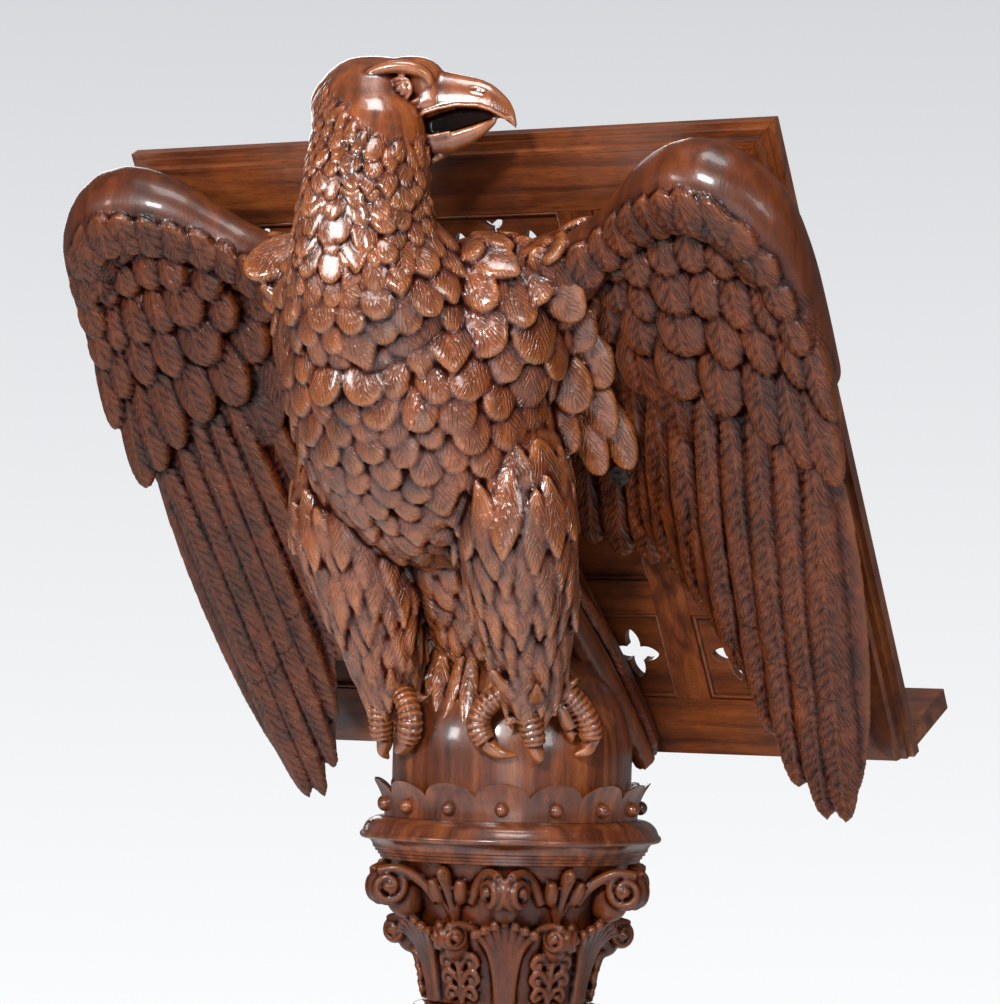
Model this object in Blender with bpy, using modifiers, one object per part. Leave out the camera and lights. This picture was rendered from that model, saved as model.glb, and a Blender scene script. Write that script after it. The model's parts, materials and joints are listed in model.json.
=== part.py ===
"""Eagle lectern: a turned and carved stand, and a revolving top with an eagle and a framed book rest.

Metres, +Z up. The origin is on the floor, on the column's axis. The eagle faces -Y, the reader stands at +Y.
"""
import math

import bmesh
import bpy
from mathutils import Euler, Matrix, Vector

for old in list(bpy.data.objects):
    bpy.data.objects.remove(old)

# ---------------------------------------------------------------- driving dimensions
GAP = 0.0003                     # clearance between touching pieces
SIDES = 6                        # plan of the plinth, and repeats round the capital

PLINTH_LOWER_ACROSS = 0.520      # across the flats
PLINTH_LOWER_HEIGHT = 0.075
PLINTH_UPPER_ACROSS = 0.420
PLINTH_UPPER_HEIGHT = 0.055
PLINTH_BEVEL = 0.012
BASE_RADIUS = 0.165
BASE_HEIGHT = 0.095
SHAFT_LENGTH = 0.693             # between the base moulding and the necking ring
SHAFT_BOTTOM_RADIUS = 0.078
SHAFT_TOP_RADIUS = 0.068
FLUTE_COUNT = 12
FLUTE_RADIUS = 0.010
FLUTE_END = 0.055                # plain length at each end of the shaft
TENON_RADIUS = 0.024
TENON_LENGTH = 0.045
NECKING_RADIUS = 0.084
NECKING_HEIGHT = 0.020

CAPITAL_HEIGHT = 0.123
CAPITAL_TOP_RADIUS = 0.105
CAPITAL_BOTTOM_RADIUS = 0.070
UPPER_VOLUTE_RADIUS = 0.0175
UPPER_VOLUTE_REACH = 0.121       # from the axis to the volute's centre
UPPER_VOLUTE_DROP = 0.024        # volute's centre below the capital's top
LOWER_VOLUTE_RADIUS = 0.0140
LOWER_VOLUTE_REACH = 0.101
LOWER_VOLUTE_DROP = 0.062
VOLUTE_WIDTH = 0.040

CAP_HEIGHT = 0.036
CAP_LEDGE = 0.021                # how far the cap stands out from the gallery's foot
CAP_RIM_DROP = 0.013             # rounded rim below the cap's top
CAP_RIM_HEIGHT = 0.006
CAP_SEAT_STEP = 0.016            # how far the cap's foot stands in from its rim
CAP_SHOULDER = 0.003             # flat edge outside the gallery
GALLERY_FLARE = 0.011            # how far the petals lean out
GALLERY_WALL = 0.0045
GALLERY_HEIGHT = 0.032
PETAL_COUNT = 15
PETAL_DEPTH = 0.017              # from petal tip to valley
PETAL_TURN = math.radians(9.7)   # turn of the first petal from +X
BEAD_RADIUS = 0.0065
BEAD_PEG_RADIUS = 0.0025
BEAD_SEAT = 0.0010               # how deep each bead is let into the wall
BEAD_BACK_RADIUS = 0.0052
BEAD_HEIGHT = 0.010              # bead centre above the gallery's foot

PERCH_RADIUS = 0.104
DRUM_HEIGHT = 0.0527             # straight part of the perch block
DOME_HEIGHT = 0.100
PERCH_CLEARANCE = 0.0012         # running clearance inside the gallery
PIVOT_RADIUS = 0.012
PIVOT_DEPTH_BELOW = 0.075
PIVOT_DEPTH_ABOVE = 0.060
PIVOT_CLEARANCE = 0.0006
PLATE_RADIUS = 0.050
PLATE_THICKNESS = 0.003

REST_WIDTH = 0.640               # book rest, with its edge mouldings
REST_LENGTH = 0.584              # along the slope
REST_THICKNESS = 0.018
REST_SLOPE = math.radians(61.3)  # from the horizontal
REST_RISE = 0.2577               # centre of the rest's underside above the perch's dome edge
REST_LAP = 0.1137                # the same point, in front of the perch's back edge
MOULDING_WIDTH = 0.017
MOULDING_STEP = 0.004
STILE_WIDTH = 0.033
TOP_RAIL_WIDTH = 0.050
BOTTOM_RAIL_WIDTH = 0.055
MUNTIN_WIDTH = 0.033
CENTRE_PANEL_WIDTH = 0.2093
PIERCED_ROW_HEIGHT = 0.083
PANEL_THICKNESS = 0.008
TONGUE = 0.006                   # how deep panels and bars sit in their grooves
QUATREFOIL_REACH = 0.024
SPANDREL_REACH = 0.011           # arm of the three-armed lights
SPANDREL_HEIGHT = 0.33           # their height from the row's middle, as a share of the row
CENTRE_CELLS = 3
SIDE_CELLS = 2
LEDGE_DEPTH = 0.065
LEDGE_THICKNESS = 0.019
LEDGE_RISE = 0.0066              # underside of the ledge above the rest's lower edge

BOLT_RADIUS = 0.004
BOLT_HEAD_RADIUS = 0.009
BOLT_HEAD_HEIGHT = 0.004
NUT_RADIUS = 0.010
NUT_HEIGHT = 0.007
BOLT_END = 0.003                 # bolt's end past the nut
BOLT_BELOW_CENTRE = 0.005        # down the slope from the rest's centre
WING_ROOT_THICKNESS = 0.024
WING_BLADE_THICKNESS = 0.022
WING_TIP_LIFT = 0.041            # how far the outer blade stands forward of the root
WING_JOINT_HALF_SPAN = 0.151     # wing joint from the middle, at JOINT_HEIGHT up the slope
WING_JOINT_HEIGHT = 0.223
WING_JOINT_LEAN = math.atan(0.24)
DOWEL_RADIUS = 0.007
DOWEL_LENGTH = 0.060
ANKLE_HEIGHT = 0.073             # glue seat of the legs above the dome's edge
ANKLE_AZIMUTH = 39.4             # degrees from the front
ANKLE_OVERHANG = 0.0047          # ankle's centre outside the drum
TAIL_SEAT_BELOW = 0.040          # joint of body and tail, down the slope from the rest's centre
TAIL_SEAT_HALF = 0.058
TAIL_SEAT_DEPTH = 0.092          # in front of the rest
VOXEL = 0.0075                   # fineness of the carved blocks

# ---------------------------------------------------------------- heights that follow
PLINTH_UPPER_FOOT = PLINTH_LOWER_HEIGHT + GAP
BASE_FOOT = PLINTH_UPPER_FOOT + PLINTH_UPPER_HEIGHT + GAP
SHAFT_FOOT = BASE_FOOT + BASE_HEIGHT + GAP
NECKING_FOOT = SHAFT_FOOT + SHAFT_LENGTH + GAP
CAPITAL_FOOT = NECKING_FOOT + NECKING_HEIGHT + GAP
CAP_FOOT = CAPITAL_FOOT + CAPITAL_HEIGHT + GAP
CAP_TOP = CAP_FOOT + CAP_HEIGHT
GALLERY_FOOT = CAP_TOP + GAP
PERCH_FOOT = CAP_TOP + PLATE_THICKNESS + 2 * GAP
DOME_FOOT = PERCH_FOOT + DRUM_HEIGHT
GALLERY_RADIUS = PERCH_RADIUS + PERCH_CLEARANCE + GALLERY_WALL + GAP    # outside, at its foot
CAP_RADIUS = GALLERY_RADIUS + CAP_LEDGE
REST_CENTRE = Vector((0, PERCH_RADIUS - REST_LAP, DOME_FOOT + REST_RISE))
REST_TURN = Euler((math.pi - REST_SLOPE, 0, 0))
# In the rest's own frame +X is the eagle's left, +Y is up the slope, and +Z points forward, out of the
# underside, so the book side is at negative Z.
REST_FRAME = Matrix.LocRotScale(REST_CENTRE, REST_TURN, None)

HALF_WIDTH = REST_WIDTH / 2
HALF_LENGTH = REST_LENGTH / 2
FRAME_HALF_WIDTH = HALF_WIDTH - MOULDING_WIDTH
FRAME_TOP = HALF_LENGTH - MOULDING_WIDTH
OPENING_HALF_WIDTH = FRAME_HALF_WIDTH - STILE_WIDTH
OPENING_TOP = FRAME_TOP - TOP_RAIL_WIDTH
OPENING_BOTTOM = -HALF_LENGTH + BOTTOM_RAIL_WIDTH
MUNTIN_CENTRE = CENTRE_PANEL_WIDTH / 2 + MUNTIN_WIDTH / 2
COLUMNS = {
    "left": (MUNTIN_CENTRE + MUNTIN_WIDTH / 2, OPENING_HALF_WIDTH, SIDE_CELLS),
    "centre": (-CENTRE_PANEL_WIDTH / 2, CENTRE_PANEL_WIDTH / 2, CENTRE_CELLS),
    "right": (-OPENING_HALF_WIDTH, -MUNTIN_CENTRE - MUNTIN_WIDTH / 2, SIDE_CELLS),
}
ROWS = {
    "upper": (OPENING_TOP - PIERCED_ROW_HEIGHT, OPENING_TOP),
    "middle": (OPENING_BOTTOM + PIERCED_ROW_HEIGHT + MUNTIN_WIDTH,
               OPENING_TOP - PIERCED_ROW_HEIGHT - MUNTIN_WIDTH),
    "lower": (OPENING_BOTTOM, OPENING_BOTTOM + PIERCED_ROW_HEIGHT),
}
CROSS_RAILS = {"upper": ROWS["upper"][0] - MUNTIN_WIDTH / 2, "lower": ROWS["lower"][1] + MUNTIN_WIDTH / 2}
PANEL_DEPTH = -REST_THICKNESS / 2            # middle of the rest's thickness


# ---------------------------------------------------------------- helpers
def make_collection(name):
    group = bpy.data.collections.new(name)
    bpy.context.scene.collection.children.link(group)
    return group


lectern = make_collection("eagle_lectern")
cutters = make_collection("cutters")


def make_material(name, rgb, roughness, metallic=0.0):
    material = bpy.data.materials.new(name)
    material.use_nodes = True
    shader = material.node_tree.nodes["Principled BSDF"]
    shader.inputs["Base Color"].default_value = (*rgb, 1.0)
    shader.inputs["Roughness"].default_value = roughness
    shader.inputs["Metallic"].default_value = metallic
    return material


CARVED = make_material("carved_walnut", (0.170, 0.050, 0.018), 0.32)
TURNED = make_material("turned_walnut", (0.150, 0.044, 0.016), 0.30)
JOINERY = make_material("joinery_walnut", (0.130, 0.042, 0.018), 0.40)
DOWEL = make_material("beech_dowel", (0.420, 0.260, 0.130), 0.60)
IRON = make_material("wrought_iron", (0.100, 0.090, 0.080), 0.50, 0.9)


def add_object(name, mesh, material, group=None, frame=None):
    piece = bpy.data.objects.new(name, mesh)
    mesh.materials.clear()
    mesh.materials.append(material)
    (group or lectern).objects.link(piece)
    if frame is not None:
        piece.matrix_world = frame
    return piece


def add_cutter(name, mesh, frame=None):
    cutter = add_object(name, mesh, DOWEL, cutters, frame)
    cutter.hide_render = True
    cutter.display_type = "WIRE"
    return cutter


def mesh_from(name, bm):
    bmesh.ops.recalc_face_normals(bm, faces=bm.faces)
    mesh = bpy.data.meshes.new(name)
    bm.to_mesh(mesh)
    bm.free()
    return mesh


def add_box(bm, low, high):
    size = Vector(high) - Vector(low)
    place = Matrix.Translation((Vector(high) + Vector(low)) / 2) @ Matrix.Diagonal((*size, 1))
    bmesh.ops.create_cube(bm, size=1, matrix=place)


def box_mesh(name, low, high):
    bm = bmesh.new()
    add_box(bm, low, high)
    return mesh_from(name, bm)


def add_rod(bm, radius, foot, head, segments=24, radius_head=None):
    foot = Vector(foot)
    head = Vector(head)
    turn = (head - foot).to_track_quat("Z", "Y").to_matrix().to_4x4()
    bmesh.ops.create_cone(bm, cap_ends=True, segments=segments, radius1=radius,
                          radius2=radius if radius_head is None else radius_head,
                          depth=(head - foot).length, matrix=Matrix.Translation((foot + head) / 2) @ turn)


def rod_mesh(name, radius, foot, head, segments=24):
    bm = bmesh.new()
    add_rod(bm, radius, foot, head, segments)
    return mesh_from(name, bm)


def add_ball(bm, centre, radii, turn=Euler((0, 0, 0)), segments=20, rings=12):
    place = Matrix.LocRotScale(Vector(centre), turn, Vector(radii))
    bmesh.ops.create_uvsphere(bm, u_segments=segments, v_segments=rings, radius=1, matrix=place)


def turned(name, profile, material, steps=30, group=None):
    """A solid of revolution: the profile runs from the axis or bore at the top, down the outside."""
    bm = bmesh.new()
    corners = [bm.verts.new((radius, 0, height)) for radius, height in profile]
    for first, second in zip(corners, corners[1:]):
        bm.edges.new((first, second))
    if profile[0][0] > 0:
        bm.edges.new((corners[-1], corners[0]))
    mesh = bpy.data.meshes.new(name)
    bm.to_mesh(mesh)
    bm.free()
    piece = add_object(name, mesh, material, group)
    screw = piece.modifiers.new("turn", "SCREW")
    screw.steps = steps
    screw.render_steps = steps
    screw.use_merge_vertices = True
    screw.merge_threshold = 0.00001
    return piece


def modify(piece, kind, other):
    modifier = piece.modifiers.new(kind.lower(), "BOOLEAN")
    modifier.operation = kind
    modifier.solver = "EXACT"
    modifier.object = other


def cut(piece, *tools):
    for tool in tools:
        modify(piece, "DIFFERENCE", tool)


def carve(name, bm, voxel, faces, group, frame=None):
    """Melt overlapping rough forms into one carved block of about so many faces."""
    mesh = bpy.data.meshes.new(name)
    bm.to_mesh(mesh)
    bm.free()
    piece = add_object(name, mesh, CARVED, group, frame)
    melt = piece.modifiers.new("melt", "REMESH")
    melt.mode = "VOXEL"
    melt.voxel_size = voxel
    ease = piece.modifiers.new("ease", "SMOOTH")
    ease.factor = 0.5
    ease.iterations = 3
    bpy.context.view_layer.update()
    evaluated = piece.evaluated_get(bpy.context.evaluated_depsgraph_get())
    count = sum(len(face.vertices) - 2 for face in evaluated.data.polygons)
    thin = piece.modifiers.new("thin", "DECIMATE")
    thin.ratio = min(1, faces / count)
    return piece


def settle(piece):
    """Apply the modifiers of a carved block, so that other blocks can be cut from it."""
    bpy.context.view_layer.update()
    evaluated = piece.evaluated_get(bpy.context.evaluated_depsgraph_get())
    mesh = bpy.data.meshes.new_from_object(evaluated)
    piece.modifiers.clear()
    piece.data = mesh
    return piece


def arc(centre, radius, start, end, count):
    """Points on an arc in (radius, height), angles in degrees."""
    angles = [math.radians(start + (end - start) * i / (count - 1)) for i in range(count)]
    return [(centre[0] + radius * math.cos(a), centre[1] + radius * math.sin(a)) for a in angles]


# ---------------------------------------------------------------- stand
def make_plinth_step(name, across, foot, height, bore):
    bm = bmesh.new()
    corner = across / 2 / math.cos(math.pi / SIDES)
    bmesh.ops.create_cone(bm, cap_ends=True, segments=SIDES, radius1=corner, radius2=corner, depth=height,
                          matrix=Matrix.Translation((0, 0, foot + height / 2)))
    rim = [edge for edge in bm.edges if all(v.co.z > foot + height / 2 for v in edge.verts)]
    bmesh.ops.bevel(bm, geom=rim, offset=PLINTH_BEVEL, segments=3, profile=0.5, affect="EDGES")
    piece = add_object(name, mesh_from(name, bm), JOINERY)
    if bore:
        cut(piece, add_cutter(name + "_bore", rod_mesh(name, TENON_RADIUS + GAP, bore[0], bore[1])))
    return piece


TENON_BOTTOM = SHAFT_FOOT - BASE_HEIGHT - TENON_LENGTH
make_plinth_step("plinth_lower", PLINTH_LOWER_ACROSS, 0, PLINTH_LOWER_HEIGHT, None)
make_plinth_step("plinth_upper", PLINTH_UPPER_ACROSS, PLINTH_UPPER_FOOT, PLINTH_UPPER_HEIGHT,
                 ((0, 0, TENON_BOTTOM - GAP), (0, 0, BASE_FOOT + GAP)))

torus = 0.28 * BASE_HEIGHT
neck = SHAFT_BOTTOM_RADIUS + 0.012
turned("base_moulding",
       [(TENON_RADIUS + GAP, BASE_FOOT + BASE_HEIGHT), (neck, BASE_FOOT + BASE_HEIGHT)]
       + arc((neck, BASE_FOOT + BASE_HEIGHT - torus / 2), torus / 2, 90, -90, 5)
       + arc((BASE_RADIUS - torus / 2, BASE_FOOT + BASE_HEIGHT - torus),
             BASE_RADIUS - torus / 2 - neck - 0.002, 180, 235, 4)
       + arc((BASE_RADIUS - torus / 2, BASE_FOOT + torus / 2), torus / 2, 90, -90, 5)
       + [(TENON_RADIUS + GAP, BASE_FOOT)], TURNED)

shaft_head = SHAFT_FOOT + SHAFT_LENGTH
bm = bmesh.new()
add_rod(bm, SHAFT_BOTTOM_RADIUS, (0, 0, SHAFT_FOOT), (0, 0, shaft_head), 48, SHAFT_TOP_RADIUS)
shaft = add_object("shaft", mesh_from("shaft", bm), TURNED)
bm = bmesh.new()
flute_foot = SHAFT_FOOT + FLUTE_END
flute_head = shaft_head - FLUTE_END
taper = (SHAFT_BOTTOM_RADIUS - SHAFT_TOP_RADIUS) / SHAFT_LENGTH
for i in range(FLUTE_COUNT):
    angle = 2 * math.pi * (i + 0.5) / FLUTE_COUNT
    reach_foot = SHAFT_BOTTOM_RADIUS - taper * FLUTE_END + FLUTE_RADIUS * 0.35
    reach_head = SHAFT_TOP_RADIUS + taper * FLUTE_END + FLUTE_RADIUS * 0.35
    add_rod(bm, FLUTE_RADIUS, (reach_foot * math.cos(angle), reach_foot * math.sin(angle), flute_foot),
            (reach_head * math.cos(angle), reach_head * math.sin(angle), flute_head), 10)
cut(shaft, add_cutter("flutes", mesh_from("flutes", bm)))
tenons = add_cutter("shaft_tenons", rod_mesh("tenons", TENON_RADIUS, (0, 0, TENON_BOTTOM),
                                             (0, 0, CAPITAL_FOOT + TENON_LENGTH)))
modify(shaft, "UNION", tenons)

turned("necking_ring",
       [(TENON_RADIUS + GAP, NECKING_FOOT + NECKING_HEIGHT),
        (NECKING_RADIUS - NECKING_HEIGHT / 2, NECKING_FOOT + NECKING_HEIGHT)]
       + arc((NECKING_RADIUS - NECKING_HEIGHT / 2, NECKING_FOOT + NECKING_HEIGHT / 2), NECKING_HEIGHT / 2,
             90, -90, 5)
       + [(TENON_RADIUS + GAP, NECKING_FOOT)], TURNED)

capital_top = CAPITAL_FOOT + CAPITAL_HEIGHT
bell = CAPITAL_TOP_RADIUS - CAPITAL_BOTTOM_RADIUS
bell_steps = 7
capital = turned("capital",
                 [(0, capital_top), (CAPITAL_TOP_RADIUS, capital_top)]
                 + [(CAPITAL_BOTTOM_RADIUS + bell * (1 - i / bell_steps) ** 1.6,
                     capital_top - CAPITAL_HEIGHT * i / bell_steps) for i in range(1, bell_steps + 1)]
                 + [(0, CAPITAL_FOOT)], CARVED)
bm = bmesh.new()
volutes = ((UPPER_VOLUTE_REACH, UPPER_VOLUTE_RADIUS, UPPER_VOLUTE_DROP, 0.5),
           (LOWER_VOLUTE_REACH, LOWER_VOLUTE_RADIUS, LOWER_VOLUTE_DROP, 0))
for reach, radius, drop, phase in volutes:
    for i in range(SIDES):
        angle = 2 * math.pi * (i + phase) / SIDES - math.pi / 2
        outward = Vector((math.cos(angle), math.sin(angle), 0))
        along = Vector((-outward.y, outward.x, 0))
        centre = outward * reach + Vector((0, 0, capital_top - drop))
        add_rod(bm, radius, centre - along * VOLUTE_WIDTH / 2, centre + along * VOLUTE_WIDTH / 2, 14)
        root = outward * (reach - 2 * radius) + Vector((0, 0, capital_top - drop - 1.4 * radius))
        add_rod(bm, radius * 0.8, root - outward * radius, centre, 10)
scrolls = carve("capital_scrolls", bm, 0.004, 1000, cutters)
settle(scrolls)
scrolls.hide_render = True
scrolls.display_type = "WIRE"
modify(capital, "UNION", scrolls)
socket = add_cutter("capital_socket", rod_mesh("socket", TENON_RADIUS + GAP, (0, 0, CAPITAL_FOOT - GAP),
                                               (0, 0, CAPITAL_FOOT + TENON_LENGTH + GAP)))
pivot_foot = CAP_TOP - PIVOT_DEPTH_BELOW
pivot_hole = add_cutter("pivot_hole", rod_mesh("pivot_hole", PIVOT_RADIUS + GAP, (0, 0, pivot_foot - GAP),
                                               (0, 0, CAP_TOP + GAP)))
cut(capital, socket, pivot_hole)

# A domed top, a rounded rim, and a cove under it.
shoulder = GALLERY_RADIUS + CAP_SHOULDER
dome_fall = CAP_RIM_DROP + 0.5 * CAP_RIM_HEIGHT
rim_foot = CAP_TOP - CAP_RIM_DROP - CAP_RIM_HEIGHT
rim_edge = CAP_RADIUS - CAP_RIM_HEIGHT / 3
cove = CAP_SEAT_STEP / 2
turned("cap_moulding",
       [(PIVOT_RADIUS + GAP, CAP_TOP), (shoulder, CAP_TOP)]
       + arc((shoulder, CAP_TOP - dome_fall), dome_fall, 80, 35, 4)
       + [(rim_edge, CAP_TOP - CAP_RIM_DROP), (CAP_RADIUS, rim_foot + CAP_RIM_HEIGHT / 2),
          (rim_edge, rim_foot)]
       + arc((rim_edge, rim_foot - cove), cove, 110, 180, 4)
       + [(CAP_RADIUS - CAP_SEAT_STEP, rim_foot - 1.25 * cove), (CAP_RADIUS - CAP_SEAT_STEP, CAP_FOOT),
          (PIVOT_RADIUS + GAP, CAP_FOOT)], TURNED)

# The gallery is a flared turned ring; round-headed petals are left when the valleys are cut away.
gallery_top = GALLERY_FOOT + GALLERY_HEIGHT
outside = [(GALLERY_RADIUS + GALLERY_FLARE * (i / 3) ** 2, GALLERY_FOOT + GALLERY_HEIGHT * i / 3)
           for i in range(4)]
inside = [(max(PERCH_RADIUS + PERCH_CLEARANCE, radius - GALLERY_WALL), height) for radius, height in outside]
gallery = turned("crown_gallery", list(reversed(outside)) + inside, CARVED, steps=PETAL_COUNT * 3)
pitch = 2 * math.pi / PETAL_COUNT
half_petal = (GALLERY_RADIUS + GALLERY_FLARE / 2) * math.tan(pitch / 2)
bm = bmesh.new()
for i in range(PETAL_COUNT):
    turn = Matrix.Rotation(PETAL_TURN + (i + 0.5) * pitch, 4, "Z")
    # Each cutter is a wedge with two hollow sides, the arcs of the petals at either hand.
    side = [(half_petal * (1 - math.cos(a)), PETAL_DEPTH * math.sin(a)) for a in
            [math.pi / 2 * k / 3 for k in range(4)]]
    outline = [(x, y) for x, y in side[:-1]] + [(half_petal * 0.98, PETAL_DEPTH + 0.004),
                                               (-half_petal * 0.98, PETAL_DEPTH + 0.004)]
    outline += [(-x, y) for x, y in reversed(side[1:-1])]
    rings = []
    for reach in (PERCH_RADIUS - 0.01, GALLERY_RADIUS + GALLERY_FLARE + 0.01):
        scale = reach / (GALLERY_RADIUS + GALLERY_FLARE / 2)
        rings.append([bm.verts.new(turn @ Vector((reach, x * scale, gallery_top - PETAL_DEPTH + y)))
                      for x, y in outline])
    bm.faces.new(rings[0])
    bm.faces.new(list(reversed(rings[1])))
    for k in range(len(outline)):
        following = (k + 1) % len(outline)
        bm.faces.new((rings[0][following], rings[0][k], rings[1][k], rings[1][following]))
cut(gallery, add_cutter("petal_valleys", mesh_from("petal_valleys", bm)))

# The wall at the beads' height, where each bead's peg is let in.
rise = BEAD_HEIGHT / GALLERY_HEIGHT
bead_wall = GALLERY_RADIUS + GALLERY_FLARE * rise ** 2
bead_back = bead_wall - BEAD_SEAT + GAP
peg_end = PERCH_RADIUS + PERCH_CLEARANCE + 0.002
bm = bmesh.new()
seats = bmesh.new()
bead_places = []
for i in range(PETAL_COUNT):
    angle = PETAL_TURN + i * pitch
    outward = Vector((math.cos(angle), math.sin(angle), 0))
    foot = Vector((0, 0, GALLERY_FOOT + BEAD_HEIGHT))
    bead_places.append((outward, foot))
    add_rod(bm, BEAD_PEG_RADIUS + GAP, foot + outward * (peg_end - GAP),
            foot + outward * (bead_wall + 0.02), 7)
    add_rod(seats, BEAD_RADIUS + 3 * GAP, foot + outward * (bead_wall - BEAD_SEAT),
            foot + outward * (bead_wall + BEAD_RADIUS), 10)
cut(gallery, add_cutter("bead_holes", mesh_from("bead_holes", bm)),
    add_cutter("bead_seats", mesh_from("bead_seats", seats)))

for number, (outward, foot) in enumerate(bead_places, start=1):
    name = f"crown_bead_{number:02d}"
    turn = outward.to_track_quat("Z", "Y").to_matrix().to_4x4()
    middle = bead_back + BEAD_SEAT + 0.25 * BEAD_RADIUS
    profile = [(0, middle + BEAD_RADIUS)] + [(x, middle + y) for x, y in arc((0, 0), BEAD_RADIUS, 60, 0, 3)]
    profile += [(BEAD_BACK_RADIUS, bead_back + BEAD_SEAT), (BEAD_BACK_RADIUS, bead_back),
                (BEAD_PEG_RADIUS, bead_back), (BEAD_PEG_RADIUS, peg_end), (0, peg_end)]
    bead = turned(name, profile, TURNED, steps=7)
    bead.matrix_world = Matrix.Translation(foot) @ turn

pivot_head = PERCH_FOOT + PIVOT_DEPTH_ABOVE
add_object("pivot_pin", rod_mesh("pivot_pin", PIVOT_RADIUS, (0, 0, pivot_foot), (0, 0, pivot_head)), IRON)
turned("wear_plate",
       [(PIVOT_RADIUS + GAP, CAP_TOP + GAP + PLATE_THICKNESS),
        (PLATE_RADIUS, CAP_TOP + GAP + PLATE_THICKNESS), (PLATE_RADIUS, CAP_TOP + GAP),
        (PIVOT_RADIUS + GAP, CAP_TOP + GAP)], IRON, steps=32)

# ---------------------------------------------------------------- perch
def dome_profile(extra):
    """Drum and dome, larger all round by a clearance."""
    points = [(0, DOME_FOOT + DOME_HEIGHT + extra)]
    for i in range(1, 8):
        angle = math.pi / 2 * (1 - i / 7)
        points.append(((PERCH_RADIUS + extra) * math.cos(angle),
                       DOME_FOOT + (DOME_HEIGHT + extra) * math.sin(angle)))
    return points + [(PERCH_RADIUS + extra, PERCH_FOOT - extra), (0, PERCH_FOOT - extra)]


def on_drum(azimuth, outside, height):
    """A point outside the drum: azimuth in degrees from the front towards +X, height above the dome's foot."""
    angle = math.radians(azimuth)
    radius = PERCH_RADIUS + outside
    return Vector((radius * math.sin(angle), -radius * math.cos(angle), DOME_FOOT + height))


# Toes of the foot at +X: azimuth, reach and height of knuckle, bend and talon root, then of the talon's tip.
TOES = (
    ((26, 0.008, 0.052), (17, 0.013, 0.030), (21, 0.012, 0.010), (33, 0.008, -0.001)),
    ((38, 0.012, 0.054), (38, 0.018, 0.034), (41, 0.016, 0.010), (43, 0.008, -0.006)),
    ((52, 0.008, 0.052), (62, 0.015, 0.034), (67, 0.012, 0.014), (61, 0.008, 0.003)),
)
TOE_RADIUS = 0.0115
TALON_RADIUS = 0.0080

perch = turned("perch_block", dome_profile(0), CARVED, steps=48)
bm = bmesh.new()
ankle = on_drum(ANKLE_AZIMUTH, ANKLE_OVERHANG, ANKLE_HEIGHT)
for side in (1, -1):
    mirror = Matrix.Diagonal((side, 1, 1, 1))
    add_ball(bm, mirror @ (ankle - Vector((0, 0, 0.016))), (0.027, 0.027, 0.032))
    for knuckle, bend, root, tip in TOES:
        chain = [ankle - Vector((0, 0, 0.014))] + [on_drum(*place) for place in (knuckle, bend, root)]
        chain = [mirror @ point for point in chain]
        for first, second in zip(chain, chain[1:]):
            add_rod(bm, TOE_RADIUS, first, second, 10)
            add_ball(bm, second, [TOE_RADIUS] * 3, segments=10, rings=8)
        add_rod(bm, TALON_RADIUS, chain[-1], mirror @ on_drum(*tip), 8, TALON_RADIUS * 0.35)
feet = carve("feet", bm, 0.004, 850, cutters)
settle(feet)
feet.hide_render = True
feet.display_type = "WIRE"
modify(perch, "UNION", feet)
seat_box = add_cutter("ankle_seat", box_mesh("ankle_seat", (-0.2, -0.2, ankle.z),
                                             (0.2, 0.2, ankle.z + 0.1)))
pivot_bore = add_cutter("pivot_bore", rod_mesh("pivot_bore", PIVOT_RADIUS + PIVOT_CLEARANCE,
                                               (0, 0, PERCH_FOOT - 0.01),
                                               (0, 0, pivot_head + PIVOT_CLEARANCE)))
bm = bmesh.new()
for side in (1, -1):
    add_rod(bm, DOWEL_RADIUS + GAP, (side * ankle.x, ankle.y, ankle.z - DOWEL_LENGTH / 2 - GAP),
            (side * ankle.x, ankle.y, ankle.z + DOWEL_LENGTH / 2 + GAP), 16)
ankle_holes = add_cutter("ankle_holes", mesh_from("ankle_holes", bm))
cut(perch, seat_box, pivot_bore, ankle_holes)

# ---------------------------------------------------------------- book rest
def prism_mesh(name, outline, low, high, axis):
    """An outline pushed along one axis; its points are the other two coordinates, in X, Y, Z order."""
    bm = bmesh.new()
    rings = []
    for reach in (low, high):
        ring = []
        for first, second in outline:
            point = [first, second]
            point.insert("XYZ".index(axis), reach(first, second) if callable(reach) else reach)
            ring.append(bm.verts.new(point))
        rings.append(ring)
    bm.faces.new(rings[0])
    bm.faces.new(list(reversed(rings[1])))
    for k in range(len(outline)):
        following = (k + 1) % len(outline)
        bm.faces.new((rings[0][following], rings[0][k], rings[1][k], rings[1][following]))
    return mesh_from(name, bm)


def rest_piece(name, mesh, material=JOINERY):
    return add_object(name, mesh, material, frame=REST_FRAME)


def rest_cutter(name, mesh):
    return add_cutter(name, mesh, REST_FRAME)


panel_low = PANEL_DEPTH - PANEL_THICKNESS / 2
panel_high = PANEL_DEPTH + PANEL_THICKNESS / 2
frame_groove = rest_cutter("frame_groove", box_mesh(
    "frame_groove", (-OPENING_HALF_WIDTH - TONGUE - GAP, OPENING_BOTTOM - TONGUE - GAP, panel_low - GAP),
    (OPENING_HALF_WIDTH + TONGUE + GAP, OPENING_TOP + TONGUE + GAP, panel_high + GAP)))
bm = bmesh.new()
for left, right, cells in COLUMNS.values():
    for foot, head in ROWS.values():
        add_box(bm, (left - TONGUE - GAP, foot - TONGUE - GAP, panel_low - GAP),
                (right + TONGUE + GAP, head + TONGUE + GAP, panel_high + GAP))
panel_grooves = rest_cutter("panel_grooves", mesh_from("panel_grooves", bm))

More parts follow.
